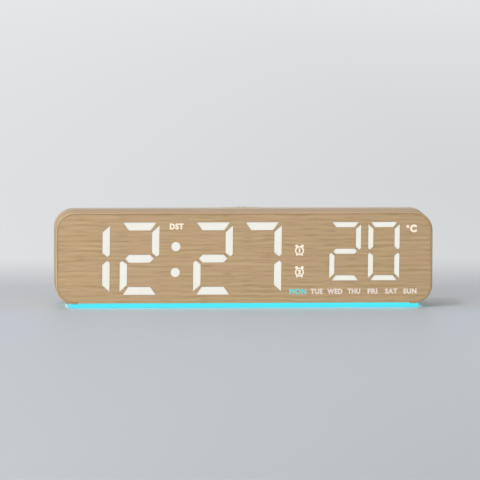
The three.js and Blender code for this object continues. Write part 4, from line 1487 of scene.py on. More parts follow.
@dataclass
class Face:
    """The wood sheet, the lit segments in its windows and the small lit legends. Sizes in millimetres."""

    shop: Workshop
    levels: Levels
    housing: Housing
    edge_gap: float = 0.1
    tongue_low: float = 2.7
    tongue_half: float = 87.85
    rows: tuple[DigitRow, ...] = (
        DigitRow("hours", "12", (-92.5, -66.3), 21.2, 4.87, BIG),
        DigitRow("minutes", "27", (-27.3, -1.4), 21.2, 4.87, BIG),
        DigitRow("temperature", "20", (45.0, 65.55), 17.0, 12.2, SMALL),
    )
    slant: float = 0.52
    digits_top_drop: float = 5.27
    corner_reach: float = 0.4
    window_gap: float = 0.15
    window_edge: float = 0.05
    pad_recess: float = 0.05
    pad_lit: float = -0.9  # a pad's faces are lit where their normal's Y is below this
    colon: tuple[Point, ...] = ((-36.4, 30.6), (-36.75, 16.85))
    colon_radius: float = 2.6
    legend_thickness: float = 0.06
    legend_lift: float = 0.01
    day_size: float = 2.8
    day_rise: float = 6.56
    day_weight: float = 0.18
    days: tuple[tuple[str, float, float], ...] = (
        ("MON", 28.4, 8.9),
        ("TUE", 38.4, 6.5),
        ("WED", 48.05, 8.1),
        ("THU", 58.2, 6.8),
        ("FRI", 68.1, 5.2),
        ("SAT", 78.1, 6.7),
        ("SUN", 88.0, 7.2),
    )
    lit_day: str = "MON"
    summer_time: Legend = Legend("DST", (-36.0, 41.3), (7.4, 3.2), 0.22)
    celsius: Legend = Legend("C", (89.75, 39.95), (3.6, 4.1), 0.34)
    degree: Point = (86.75, 41.0)
    degree_radii: Point = (0.82, 0.22)
    alarms: tuple[tuple[str, Point], ...] = (("1", (29.2, 28.3)), ("2", (29.2, 16.85)))
    alarm_radii: Point = (2.42, 1.68)
    alarm_number: float = 2.5
    alarm_weight: float = 0.22
    bell: Point = (1.5, 2.4)
    bell_radius: float = 0.78
    toe: tuple[Point, ...] = ((0.85, -1.9), (1.15, -2.95), (1.85, -2.7), (1.5, -1.6))

    def lit_shapes(self, row: DigitRow) -> list[list[Point]]:
        """The lit segments of a row.

        Args:
            row: The row.

        Returns:
            Their outlines in X and Z, slanted and in their places.
        """
        low = self.levels.bottom + row.rise
        height = self.levels.top - self.digits_top_drop - low
        lean = math.tan(math.radians(self.slant))
        shapes = []
        for digit, left in zip(row.text, row.lefts):
            segments = row.stroke.segments(row.width, height)
            for letter in LIT[digit]:
                points = segments[letter]
                shapes.append([(left + x + (z - height / 2) * lean, low + z) for x, z in points])
        return [eased(shape, self.corner_reach) for shape in shapes]

    def outline(self) -> list[Point]:
        """The sheet's outline, with the tongue that closes the front above the light bar.

        Returns:
            Its points in X and Z.
        """
        inset = self.housing.lip + self.edge_gap
        low, high, half = self.tongue_low, self.levels.bottom + inset, self.tongue_half
        return [(-half, high), (-half, low), (half, low), (half, high), *self.housing.outline(inset)[1:]]

    def dots(self, radius: float) -> list[list[Point]]:
        """The colon's two dots."""
        return [circle(radius, 40, (x, self.levels.bottom + rise)) for x, rise in self.colon]

    def build(self) -> None:
        """Cuts the sheet, sets the lit pads in it and adds the lens behind."""
        levels = self.levels
        shapes = {row.name: self.lit_shapes(row) for row in self.rows}
        windows = [shape for row in shapes.values() for shape in row] + self.dots(self.colon_radius)
        thickness = levels.face_rear - levels.face_front
        sheet = plate([self.outline(), *windows], thickness, self.window_edge)
        stood(sheet, (0, (levels.face_front + levels.face_rear) / 2, 0))
        layer = sheet.uv_layers.new(name="UVMap")
        for loop in sheet.loops:
            place = sheet.vertices[loop.vertex_index].co
            layer.data[loop.index].uv = (place.x * MM, place.z * MM)
        self.shop.add("oak_face", sheet, "sheet", replaces=["wood_face"])

        lens_rear = node_box("display_lens")[1].y
        lens = plate([self.outline()], lens_rear - levels.face_rear, self.window_edge)
        stood(lens, (0, (levels.face_rear + lens_rear) / 2, 0))
        self.shop.add("lens_sheet", lens, "opal", replaces=["display_lens"])
        for name, row in shapes.items():
            self.lit_piece(f"lit_{name}", [shrunk(shape, self.window_gap) for shape in row])
        self.lit_piece("lit_colon", self.dots(self.colon_radius - self.window_gap))
        self.legends()

    def lit_piece(self, name: str, shapes: list[list[Point]]) -> None:
        """Raised pads of the lens, lit on their fronts and plain on their sides.

        Args:
            name: The piece's name.
            shapes: The pads' outlines in X and Z.
        """
        front = self.levels.face_front + self.pad_recess
        depth = self.levels.face_rear - front
        pads = stood(plate(shapes, depth, self.window_edge / 2), (0, front + depth / 2, 0))
        pads.materials.append(self.shop.finishes["lit"])
        pads.materials.append(self.shop.finishes["opal"])
        for polygon in pads.polygons:
            polygon.material_index = 0 if polygon.normal.y < self.pad_lit else 1
        self.shop.add(name, pads, "lit")

    def mark(self, name: str, mesh: Mesh, place: Point, finish: str = "lit_mark") -> None:
        """Sets a flat mark on the face.

        Args:
            name: The mark's name.
            mesh: Its shape, about its middle.
            place: Its middle in X and above the housing's underside.
            finish: Key of its finish.
        """
        y = self.levels.face_front - self.legend_thickness / 2 + self.legend_lift
        stood(mesh, (place[0], y, self.levels.bottom + place[1]))
        self.shop.add(f"legend_{name}", mesh, finish)

    def word(self, name: str, legend: Legend) -> None:
        """Sets a word on the face."""
        mesh = lettering(legend.text, legend.size, self.legend_thickness, legend.weight)
        self.mark(name, mesh, legend.place, legend.finish)

    def ring(self, radii: Point, steps: tuple[int, int]) -> Mesh:
        """A flat ring of two radii, each with its number of steps."""
        return plate([circle(*pair) for pair in zip(radii, steps)], self.legend_thickness)

    def legends(self) -> None:
        """The weekday names, the summer-time mark, the degree sign and the two alarm marks."""
        for day, x, width in self.days:
            finish = "lit_turquoise" if day == self.lit_day else "lit_print"
            size = (width, self.day_size)
            self.word(day.lower(), Legend(day, (x, self.day_rise), size, self.day_weight, finish))
        self.word("summer_time", self.summer_time)
        self.word("celsius", self.celsius)
        self.mark("degree", self.ring(self.degree_radii, (28, 20)), self.degree)
        for number, place in self.alarms:
            self.mark(f"alarm_{number}", self.alarm_mark(number), place)

    def alarm_mark(self, number: str) -> Mesh:
        """An alarm clock's outline with two bells, two feet and a number in its ring.

        Args:
            number: The number.

        Returns:
            A flat mesh about the ring's middle.
        """
        thickness = self.legend_thickness
        parts = [self.ring(self.alarm_radii, (40, 32))]
        parts.append(lettering(number, (0.0, self.alarm_number), thickness, self.alarm_weight))
        for side in (-1, 1):
            bell = circle(self.bell_radius, 20, (side * self.bell[0], self.bell[1]))
            toe = [(side * x, z) for x, z in self.toe]
            parts += [plate([bell], thickness), plate([toe], thickness)]
        return merged(parts)


@dataclass(frozen=True)
class PanScrew:
    """A cross-recessed pan-head screw. Sizes in millimetres."""

    length: float
    head_radius: float = 1.9
    head_height: float = 1.2
    shank: float = 0.95
    tip_share: float = 0.6
    tip_length: float = 0.8
    dome: tuple[Level, ...] = ((0.45, 0.0), (0.8, 0.18), (1.05, 0.55))
    flat: float = 1.1
    recess: float = 0.6
    arm_half: Point = (1.15, 0.27)

    def shape(self) -> Mesh:
        """The screw about the origin, pointing along -Z, with its head's underside at zero.

        Returns:
            A closed mesh.
        """
        top, radius = self.head_height, self.head_radius
        profile = [(-self.length, self.shank * self.tip_share), (-self.length + self.tip_length, self.shank)]
        profile += [(0.0, self.shank), (0.0, radius)]
        profile += [(level, radius - inset) for level, inset in self.dome]
        profile.append((top, radius - self.flat))
        arms = [
            block((-x, -y, top - self.recess), (x, y, top + OVERRUN))
            for x, y in (self.arm_half, self.arm_half[::-1])
        ]
        return carved(turned(profile, (0.0, 0.0), Axis.Z, 32), arms)


@dataclass
class RearCover:
    """The moulded back with its keys, socket, cell cap and snooze button. Sizes in millimetres."""

    shop: Workshop
    levels: Levels
    housing: Housing
    wall: float = 2.0
    rear_edge: float = 2.5
    seam_edge: float = 0.18
    rim: float = 0.25
    gap: float = 0.2
    keys: tuple[str, ...] = ("light", "alarm", "minus", "plus", "set")
    key_size: Point = (9.0, 5.0)
    key_edge: float = 0.6
    key_slope: float = 0.9
    key_crown: float = 0.12
    key_flange: float = 1.0
    flange_depth: float = 1.6
    flange_thick: float = 1.5
    stem_radius: float = 1.6
    stem_sunk: float = 1.0
    cap_radius: float = 12.0
    cap_flange: float = 1.2
    cap_neck: float = 10.5
    cap_step: float = 0.5
    cap_boss: float = 3.0
    cap_face: tuple[Level, ...] = (
        (0.35, 0.0), (0.1, 0.1), (0.0, 0.35), (0.0, 1.6), (0.15, 1.8), (0.15, 2.1), (0.0, 2.3)
    )
    cap_slot: Point = (12.0, 1.6)
    cap_slot_depth: float = 0.7
    cap_slot_rim: float = 0.2
    cap_turn: float = 60.0
    cap_mark: float = 8.4
    mark_radius: float = 13.7
    mark_dot: float = 0.45
    mark_ring: Point = (0.6, 0.4)
    print_thick: float = 0.03
    print_lift: float = 0.01
    print_weight: float = 0.05
    word_size: float = 1.7
    sign_size: float = 2.4
    key_print_rise: float = 5.4
    power_print_rise: float = 4.6
    screw: PanScrew = PanScrew(10.0)
    screw_seat: float = 9.6
    sink_radius: float = 2.2
    hole_ring: float = 3.4
    hole_count: int = 6
    hole_radius: float = 0.8
    vent_count: int = 5
    vent_pitch: float = 2.4
    vent_size: Point = (8.0, 1.2)
    socket_size: Point = (8.94, 3.26)
    socket_shell: float = 0.3
    socket_fit: float = 0.3
    socket_rim: Point = (0.12, 0.1)
    socket_back: float = 0.8
    socket_floor: float = 2.0
    core_half: Point = (4.1, 1.2)
    core_play: Point = (0.1, 0.05)
    core_edge: float = 0.1
    tongue_half: Point = (3.35, 0.35)
    tongue_edge: float = 0.08
    tongue_sunk: float = 0.5
    tongue_drop: float = 1.0
    contact_half: float = 0.13
    contact_rise: Point = (0.33, 0.37)
    contact_play: Point = (1.0, 0.2)
    contact_count: int = 12
    contact_pitch: float = 0.5
    snooze_half: float = 12.0
    snooze_depth: float = 5.61
    snooze_corner: float = 1.5
    snooze_edge: float = 0.4
    snooze_rise: float = 0.45
    snooze_crown: float = 0.3
    snooze_cuts: Sequence[int] = range(-10, 11, 2)  # where it is cut across to bend
    snooze_flange: float = 0.8
    snooze_flange_drop: float = 2.3
    snooze_flange_thick: float = 1.2
    snooze_stem: Point = (0.0, 8.0)
    snooze_stem_sunk: float = 0.5
    rib_half: Point = (0.35, 1.3)
    rib_sunk: float = 0.2
    rib_rise: float = 0.35
    rib_edge: float = 0.1
    rib_pitch: float = 2.2

    def pill(self, size: Point, centre: Point, grow: float = 0.0) -> Outline:
        """An outline with round ends, drawn out all round, for an inset."""
        width, height = size[0] + 2 * grow, size[1] + 2 * grow
        return lambda inset: rounded(width - 2 * inset, height - 2 * inset, height / 2 - inset, 12, centre)

    def build(self) -> None:
        """Builds the cover and everything that shows on it."""
        self.build_shell()
        self.build_keys()
        self.build_cap()
        self.build_socket()
        self.build_screws()
        self.build_snooze()
        self.build_prints()

    def screw_places(self) -> list[Point]:
        """Middles of the cover's four screws in X and Z."""
        middles = [node_middle(name) for name in numbered("cover_screw")]
        return [(middle.x, middle.z) for middle in middles]

    def build_shell(self) -> None:
        """The cover's shell with its openings."""
        levels, outline = self.levels, self.housing.outline
        inner = levels.rear - self.wall
        profile = [
            (inner, self.wall),
            (levels.seam, self.wall),
            (levels.seam, self.seam_edge),
            (levels.seam + self.seam_edge, 0.0),
            *soft_edge(levels.rear, self.rear_edge, 1, steps=8),
        ]
        shell = layered(outline, profile, Axis.Y)
        cutters = []
        for name in self.keys:
            middle = node_middle(f"{name}_button")
            hole = self.pill(self.key_size, (middle.x, middle.z), self.gap)
            cutters.append(self.opening(hole, inner))
        socket = node_middle("power_socket")
        hole = self.pill(self.socket_size, (socket.x, socket.z), self.socket_fit)
        cutters.append(self.opening(hole, inner))
        cap = node_middle("battery_cap")
        seat = levels.rear - self.cap_flange
        seat_outline = round_outline(self.cap_radius + self.gap, (cap.x, cap.z), 72)
        cutters.append(mouth(seat_outline, levels.rear, seat, self.rim, Axis.Y))
        neck = self.cap_neck + self.gap
        cutters.append(turned([(inner - OVERRUN, neck), (seat + OVERRUN, neck)], (cap.x, cap.z), Axis.Y))
        for place in self.screw_places():
            cutters.append(self.opening(round_outline(self.sink_radius, place), inner))
        cutters += self.sound_holes(inner) + self.vents(inner)
        window = self.snooze_outline(self.gap)
        cutters.append(mouth(window, levels.top, levels.top - self.wall - OVERRUN, self.rim / 2, Axis.Z))
        shell = carved(shell, cutters)
        self.shop.add("rear_shell", shell, "cream", replaces=["rear_cover"])

    def opening(self, outline: Outline, inner: float, rim_share: float = 1.0) -> Mesh:
        """A cutter right through the back wall."""
        return mouth(outline, self.levels.rear, inner - OVERRUN, self.rim * rim_share, Axis.Y)

    def sound_holes(self, inner: float) -> list[Mesh]:
        """One hole in the middle of a ring of holes, in front of the buzzer.

        Args:
            inner: Level of the wall's inner face.

        Returns:
            Their cutters.
        """
        middle = node_middle("buzzer")
        centre = (middle.x, middle.z)
        places = [centre, *circle(self.hole_ring, self.hole_count, centre)]
        return [self.opening(round_outline(self.hole_radius, place, 20), inner, 0.5) for place in places]

    def vents(self, inner: float) -> list[Mesh]:
        """Air slots in front of the temperature sensor.

        Args:
            inner: Level of the wall's inner face.

        Returns:
            Their cutters.
        """
        middle = node_middle("temperature_sensor")
        rises = [(i - (self.vent_count - 1) / 2) * self.vent_pitch for i in range(self.vent_count)]
        slots = [self.pill(self.vent_size, (middle.x, middle.z + rise)) for rise in rises]
        return [self.opening(slot, inner, 0.5) for slot in slots]

    def build_keys(self) -> None:
        """Five pill-shaped keys with a soft rim and a low crown."""
        front = self.levels.rear - self.wall - self.flange_depth
        for name in self.keys:
            low, high = node_box(f"{name}_button")
            middle = (low + high) / 2
            place = (middle.x, middle.z)
            rim = soft_edge(high.y - self.key_crown, self.key_edge, 1)
            profile = [(front, 0.0), *rim, (high.y, self.key_edge + self.key_slope)]
            cap = layered(self.pill(self.key_size, place), profile, Axis.Y)
            edge = self.pill(self.key_size, place, self.key_flange)
            flange = layered(edge, [(front, 0.0), (front + self.flange_thick, 0.0)], Axis.Y)
            stem_profile = [(low.y, self.stem_radius), (front + self.stem_sunk, self.stem_radius)]
            key = merged([cap, flange, turned(stem_profile, place, Axis.Y, 24)])
            self.shop.add(f"{name}_key", key, "key", f"{name}_key", [f"{name}_button"])

    def build_cap(self) -> None:
        """The round cap over the memory cell, with a coin slot and the marks for shut and open."""
        low, high = node_box("battery_cap")
        middle = (low + high) / 2
        place = (middle.x, middle.z)
        seat, boss = self.levels.rear - self.cap_flange, self.cap_radius - self.cap_boss
        profile = [
            (low.y, boss),
            (seat - self.cap_step, boss),
            (seat - self.cap_step, self.cap_neck),
            (seat, self.cap_neck),
            (seat, self.cap_radius),
        ]
        profile += [(high.y - depth, self.cap_radius - inset) for depth, inset in self.cap_face]
        cap = turned(profile, place, Axis.Y, 96)
        bottom = high.y - self.cap_slot_depth
        slot = mouth(self.pill(self.cap_slot, place), high.y, bottom, self.cap_slot_rim, Axis.Y)
        self.shop.add("cell_cap", carved(cap, [slot]), "cream", "cap", ["battery_cap"])
        dot = [circle(self.mark_dot, 20)]
        ring = [circle(radius, steps) for radius, steps in zip(self.mark_ring, (24, 20))]
        marks = [
            ("cap", "cap", dot, high.y, self.cap_mark, 0.0),
            ("shut", "housing", dot, self.levels.rear, self.mark_radius, 0.0),
            ("open", "housing", ring, self.levels.rear, self.mark_radius, self.cap_turn),
        ]
        for name, body, loops, level, radius, turn in marks:
            x = middle.x + radius * math.sin(math.radians(turn))
            z = middle.z + radius * math.cos(math.radians(turn))
            mark = stood(plate(loops, self.print_thick), (x, level + self.print_lift, z), Facing.BACK)
            self.shop.add(f"print_{name}", mark, "ink", body)

    def build_socket(self) -> None:
        """The power socket: a rolled shell, its moulded core and a row of contacts."""
        low, high = node_box("power_socket")
        middle = (low + high) / 2
        shell, bottom = self.socket_shell, low.y + self.socket_floor
        drop, side = self.socket_rim
        profile = [
            (low.y, 0.0),
            (high.y - drop, 0.0),
            (high.y, side),
            (high.y, shell - side),
            (high.y - drop, shell),
            (bottom, shell),
            (bottom, shell + self.socket_back),
            (low.y, shell + self.socket_back),
        ]
        tube = layered(self.pill(self.socket_size, (middle.x, middle.z)), profile, Axis.Y, looped=True)
        self.shop.add("socket_shell", tube, "nickel", replaces=["power_socket"])
        (x, z), (behind, ahead) = self.core_half, self.core_play
        floor = block((-x, low.y + behind, -z), (x, bottom - ahead, z), self.core_edge)
        (x, z), tip = self.tongue_half, high.y - self.tongue_drop
        tongue = block((-x, bottom - self.tongue_sunk, -z), (x, tip, z), self.tongue_edge)
        core = merged([floor, tongue])
        core.transform(Matrix.Translation((middle.x, 0, middle.z)))
        self.shop.add("socket_core", core, "black")
        (near, far), half = self.contact_rise, self.contact_half
        start, end = bottom + self.contact_play[0], tip - self.contact_play[1]
        pads = [
            block((-half, start, middle.z + lower), (half, end, middle.z + upper))
            for lower, upper in ((near, far), (-far, -near))
        ]
        contacts = self.shop.in_row(merged(pads), self.contact_count, self.contact_pitch, "gold")
        contacts.transform(Matrix.Translation((middle.x, 0, 0)))
        self.shop.add("socket_contacts", contacts, "gold")

    def build_screws(self) -> None:
        """Four pan-head screws in their sinks."""
        screw = self.screw.shape()
        screw.transform(Matrix.Rotation(-math.pi / 2, 4, "X"))
        places = [Vector((x, self.screw_seat, z)) for x, z in self.screw_places()]
        self.shop.add_copies("cover_screws", screw, places, "zinc", "cover_screw")

    @property
    def snooze_y(self) -> float:
        """Middle of the snooze button in Y."""
        return (self.levels.seam + self.levels.rear - self.rear_edge) / 2

    def snooze_outline(self, grow: float = 0.0) -> Outline:
        """The snooze button's outline in X and Y.

        Args:
            grow: How far it is drawn out all round.

        Returns:
            Its points, for an inset.
        """

        def points(inset: float) -> list[Point]:
            """The outline drawn in by an inset.

            Args:
                inset: The inset.

            Returns:
                Its points.
            """
            width, depth = 2 * (self.snooze_half + grow - inset), self.snooze_depth + 2 * (grow - inset)
            corner = max(self.snooze_corner + grow - inset, LEAST_CORNER)
            return rounded(width, depth, corner, 8, (0.0, self.snooze_y))

        return points

    def crowned(self, mesh: Mesh, above: float) -> Mesh:
        """A bar whose upper part falls away gently towards its ends.

        Args:
            mesh: The bar, which is removed.
            above: Height above which it falls away.

        Returns:
            A closed mesh.
        """
        bm = bmesh.new()
        bm.from_mesh(mesh)
        for x in self.snooze_cuts:
            parts = [*bm.verts, *bm.edges, *bm.faces]
            bmesh.ops.bisect_plane(bm, geom=parts, plane_co=(x, 0, 0), plane_no=(1, 0, 0))
        for vert in bm.verts:
            if vert.co.z > above:
                vert.co.z -= self.snooze_crown * (vert.co.x / self.snooze_half) ** 2
        bpy.data.meshes.remove(mesh)
        return mesh_from(bm, "crowned")

    def build_snooze(self) -> None:
        """The low button on the top, with two fine ribs for the finger."""
        low = node_box("snooze_button")[0]
        bar_top = self.levels.top + self.snooze_rise
        flange_top = self.levels.top - self.snooze_flange_drop
        bottom = flange_top - self.snooze_flange_thick
        profile = [(bottom, 0.0), *soft_edge(bar_top, self.snooze_edge, 1)]
        bar = self.crowned(layered(self.snooze_outline(), profile, Axis.Z), flange_top)
        flange = layered(self.snooze_outline(self.snooze_flange), [(bottom, 0.0), (flange_top, 0.0)], Axis.Z)
        stem = [(low.z, self.stem_radius), (flange_top - self.snooze_stem_sunk, self.stem_radius)]
        button = merged([bar, flange, turned(stem, self.snooze_stem, Axis.Z, 24)])
        half_x, half_y = self.rib_half
        rib_low = (-half_x, self.snooze_y - half_y, bar_top - self.rib_sunk)
        rib = block(rib_low, (half_x, self.snooze_y + half_y, bar_top + self.rib_rise), self.rib_edge)
        ribs = self.shop.in_row(rib, 2, self.rib_pitch, "key")
        self.shop.add("snooze_bar", button, "cream", "snooze_key", ["snooze_button"])
        self.shop.add("snooze_ribs", ribs, "key", "snooze_key")

    def build_prints(self) -> None:
        """Small printed legends above the keys and the socket."""
        texts = {"set": "SET", "plus": "+", "minus": "\u2212", "alarm": "ALARM", "light": "LIGHT"}
        rise = self.key_print_rise
        prints = [(name, text, node_middle(f"{name}_button"), rise) for name, text in texts.items()]
        prints.append(("power", "DC 5V", node_middle("power_socket"), self.power_print_rise))
        for name, text, middle, rise in prints:
            height = self.sign_size if name in ("plus", "minus") else self.word_size
            mesh = lettering(text, (0.0, height), self.print_thick, self.print_weight)
            stood(mesh, (middle.x, self.levels.rear + self.print_lift, middle.z + rise), Facing.BACK)
            self.shop.add(f"print_{name}", mesh, "ink")


@dataclass
class Base:
    """The underside: the glowing bar, the base plate, its screws and the feet. Sizes in millimetres."""

    shop: Workshop
    levels: Levels
    plate_corner: float = 1.5
    edge: float = 0.25
    foot_radius: float = 4.0
    foot_gap: float = 0.15
    foot_seat: float = 0.5
    foot_rim: tuple[Level, ...] = ((0.0, 0.9), (0.08, 0.45), (0.3, 0.1), (0.45, 0.0))
    hole_rim: float = 0.15
    screw: PanScrew = PanScrew(4.8)
    bar_half: float = 93.0
    bar_low: float = 0.1
    bar_edge: float = 0.9
    bar_rim: float = 0.15
    rail_half: float = 87.0
    rail_sunk: float = 0.5
    rail_rim: float = 0.1
    rail_lit: float = -0.5  # the rail's faces glow where their normal's Y is not above this
    strip_power: float = 0.0026
    strip_tilt: float = 80.0
    strip_gap: float = 0.1
    end_depth: float = 24.0
    end_power: float = 0.00038
    strip_color: str = "#34daff"
    end_color: str = "#9eecff"

    def build(self) -> None:
        """Builds the light bar, the plate, its screws and the feet."""
        self.build_bar()
        low, high = node_box("base_plate")
        width, depth = high.x - low.x, high.y - low.y
        centre = ((low.x + high.x) / 2, (low.y + high.y) / 2)

        def outline(inset: float) -> list[Point]:
            """The plate's outline drawn in by an inset."""
            return rounded(width - 2 * inset, depth - 2 * inset, self.plate_corner - inset, 8, centre)

        sheet = layered(outline, [*soft_edge(low.z, self.edge, -1), (high.z, 0.0)], Axis.Z)
        feet = [node_middle(name) for name in numbered("foot")]
        screws = [node_middle(name) for name in numbered("base_screw")]
        cutters = []
        for foot in feet:
            seat = round_outline(self.foot_radius + self.foot_gap, (foot.x, foot.y), 48)
            cutters.append(mouth(seat, low.z, low.z + self.foot_seat, self.hole_rim, Axis.Z, -1))
        for screw in screws:
            sink = round_outline(self.screw.head_radius + self.foot_gap, (screw.x, screw.y))
            cutters.append(mouth(sink, low.z, high.z + OVERRUN, self.hole_rim, Axis.Z, -1))
        self.shop.add("base_sheet", carved(sheet, cutters), "cream", replaces=["base_plate"])

        shape = self.screw.shape()
        shape.transform(Matrix.Rotation(math.pi, 4, "X"))
        places = [Vector((middle.x, middle.y, low.z + self.screw.head_height)) for middle in screws]
        self.shop.add_copies("base_screws", shape, places, "zinc", "base_screw")

        profile = [(rise, self.foot_radius - inset) for rise, inset in self.foot_rim]
        profile.append((node_box("foot_1")[1].z, self.foot_radius))
        disc = turned(profile, (0.0, 0.0), Axis.Z, 40)
        places = [Vector((middle.x, middle.y, 0.0)) for middle in feet]
        self.shop.add_copies("rubber_feet", disc, places, "rubber", "foot")

    def bar_outline(self) -> list[Point]:
        """The bar's foot from the front. Its round ends stay below the housing's corners.

        Returns:
            Its points in X and Z.
        """
        half, low, top = self.bar_half, self.bar_low, self.levels.bottom
        lower, upper = self.bar_edge, top - low - self.bar_edge
        right = arc((half - lower, low + lower), lower, -90, 0, 6)
        right += arc((half - upper, top - upper), upper, 0, 90, 5)[1:]
        return right + [(-x, z) for x, z in reversed(right)]

    def build_bar(self) -> None:
        """The lit foot under the front edge, and the rail above it that the lamps shine into."""
        low, high = node_box("light_bar")
        bottom = self.levels.bottom
        foot = plate([self.bar_outline()], high.y - low.y, self.bar_rim)
        stood(foot, (0, (low.y + high.y) / 2, 0))
        rail_low = (-self.rail_half, low.y, bottom - self.rail_sunk)
        bar = merged([foot, block(rail_low, (self.rail_half, high.y, high.z), self.rail_rim)])
        bar.materials.append(self.shop.finishes["glow"])
        bar.materials.append(self.shop.finishes["opal"])
        for polygon in bar.polygons:
            plain = polygon.center.z > bottom and polygon.normal.y > self.rail_lit
            polygon.material_index = 1 if plain else 0
        self.shop.add("glow_bar", bar, "glow", replaces=["light_bar"])
        self.add_strip_light(low, high)

    def add_strip_light(self, low: Vector, high: Vector) -> None:
        """The light that the bar throws forward and down onto what the clock stands on.

        Args:
            low: The bar's lowest corner.
            high: Its highest corner.
        """
        length, depth, height = high.x - low.x, high.y - low.y, self.levels.bottom - low.z
        middle = Vector((0.0, (low.y + high.y) / 2, low.z + height / 2))
        end, behind = self.bar_half + self.strip_gap, (self.end_depth - depth) / 2
        sides = [
            ("front", (0.0, -depth / 2 - self.strip_gap, 0.0), length, 0.0, self.strip_power),
            ("left", (-end, behind, 0.0), self.end_depth, -90.0, self.end_power),
            ("right", (end, behind, 0.0), self.end_depth, 90.0, self.end_power),
        ]
        for name, offset, width, turn, power in sides:
            lamp = bpy.data.lights.new(f"strip_{name}", "AREA")
            lamp.shape = "RECTANGLE"
            lamp.size = width * MM
            lamp.size_y = height * MM
            lamp.energy = power
            lamp.color = linear(self.end_color if turn else self.strip_color)[:3]
            strip = holding(lamp, f"strip_{name}")
            strip.visible_camera = False
            aim = Matrix.Rotation(math.radians(turn), 4, "Z")
            aim @= Matrix.Rotation(math.radians(-self.strip_tilt), 4, "X")
            strip.matrix_world = Matrix.Translation((middle + Vector(offset)) * MM) @ aim


@dataclass
class InnerParts:
    """The boards, cables and small parts inside, which keep their CAD shapes."""

    nodes: dict[str, Object]
    record: dict
    finishes: Finishes

    def dress(self) -> None:
        """Gives each inner node the finish of its record slot."""
        by_slot = {
            "white_plastic": "white",
            "circuit_board": "board",
            "white_board": "white_board",
            "cable": "ribbon",
            "screw_steel": "zinc",
            "cell_steel": "stainless",
            "black_plastic": "black",
        }
        for part in self.record["subparts"]:
            key = by_slot.get(part["material_slot"])
            node = self.nodes[part["node"]]
            if key:
                node.data.materials.clear()
                node.data.materials.append(self.finishes[key])


@dataclass(frozen=True)
class Lamp:
    """A round soft box that faces the clock. Degrees, metres and watts."""

    name: str
    azimuth: float
    elevation: float
    distance: float
    size: float
    power: float


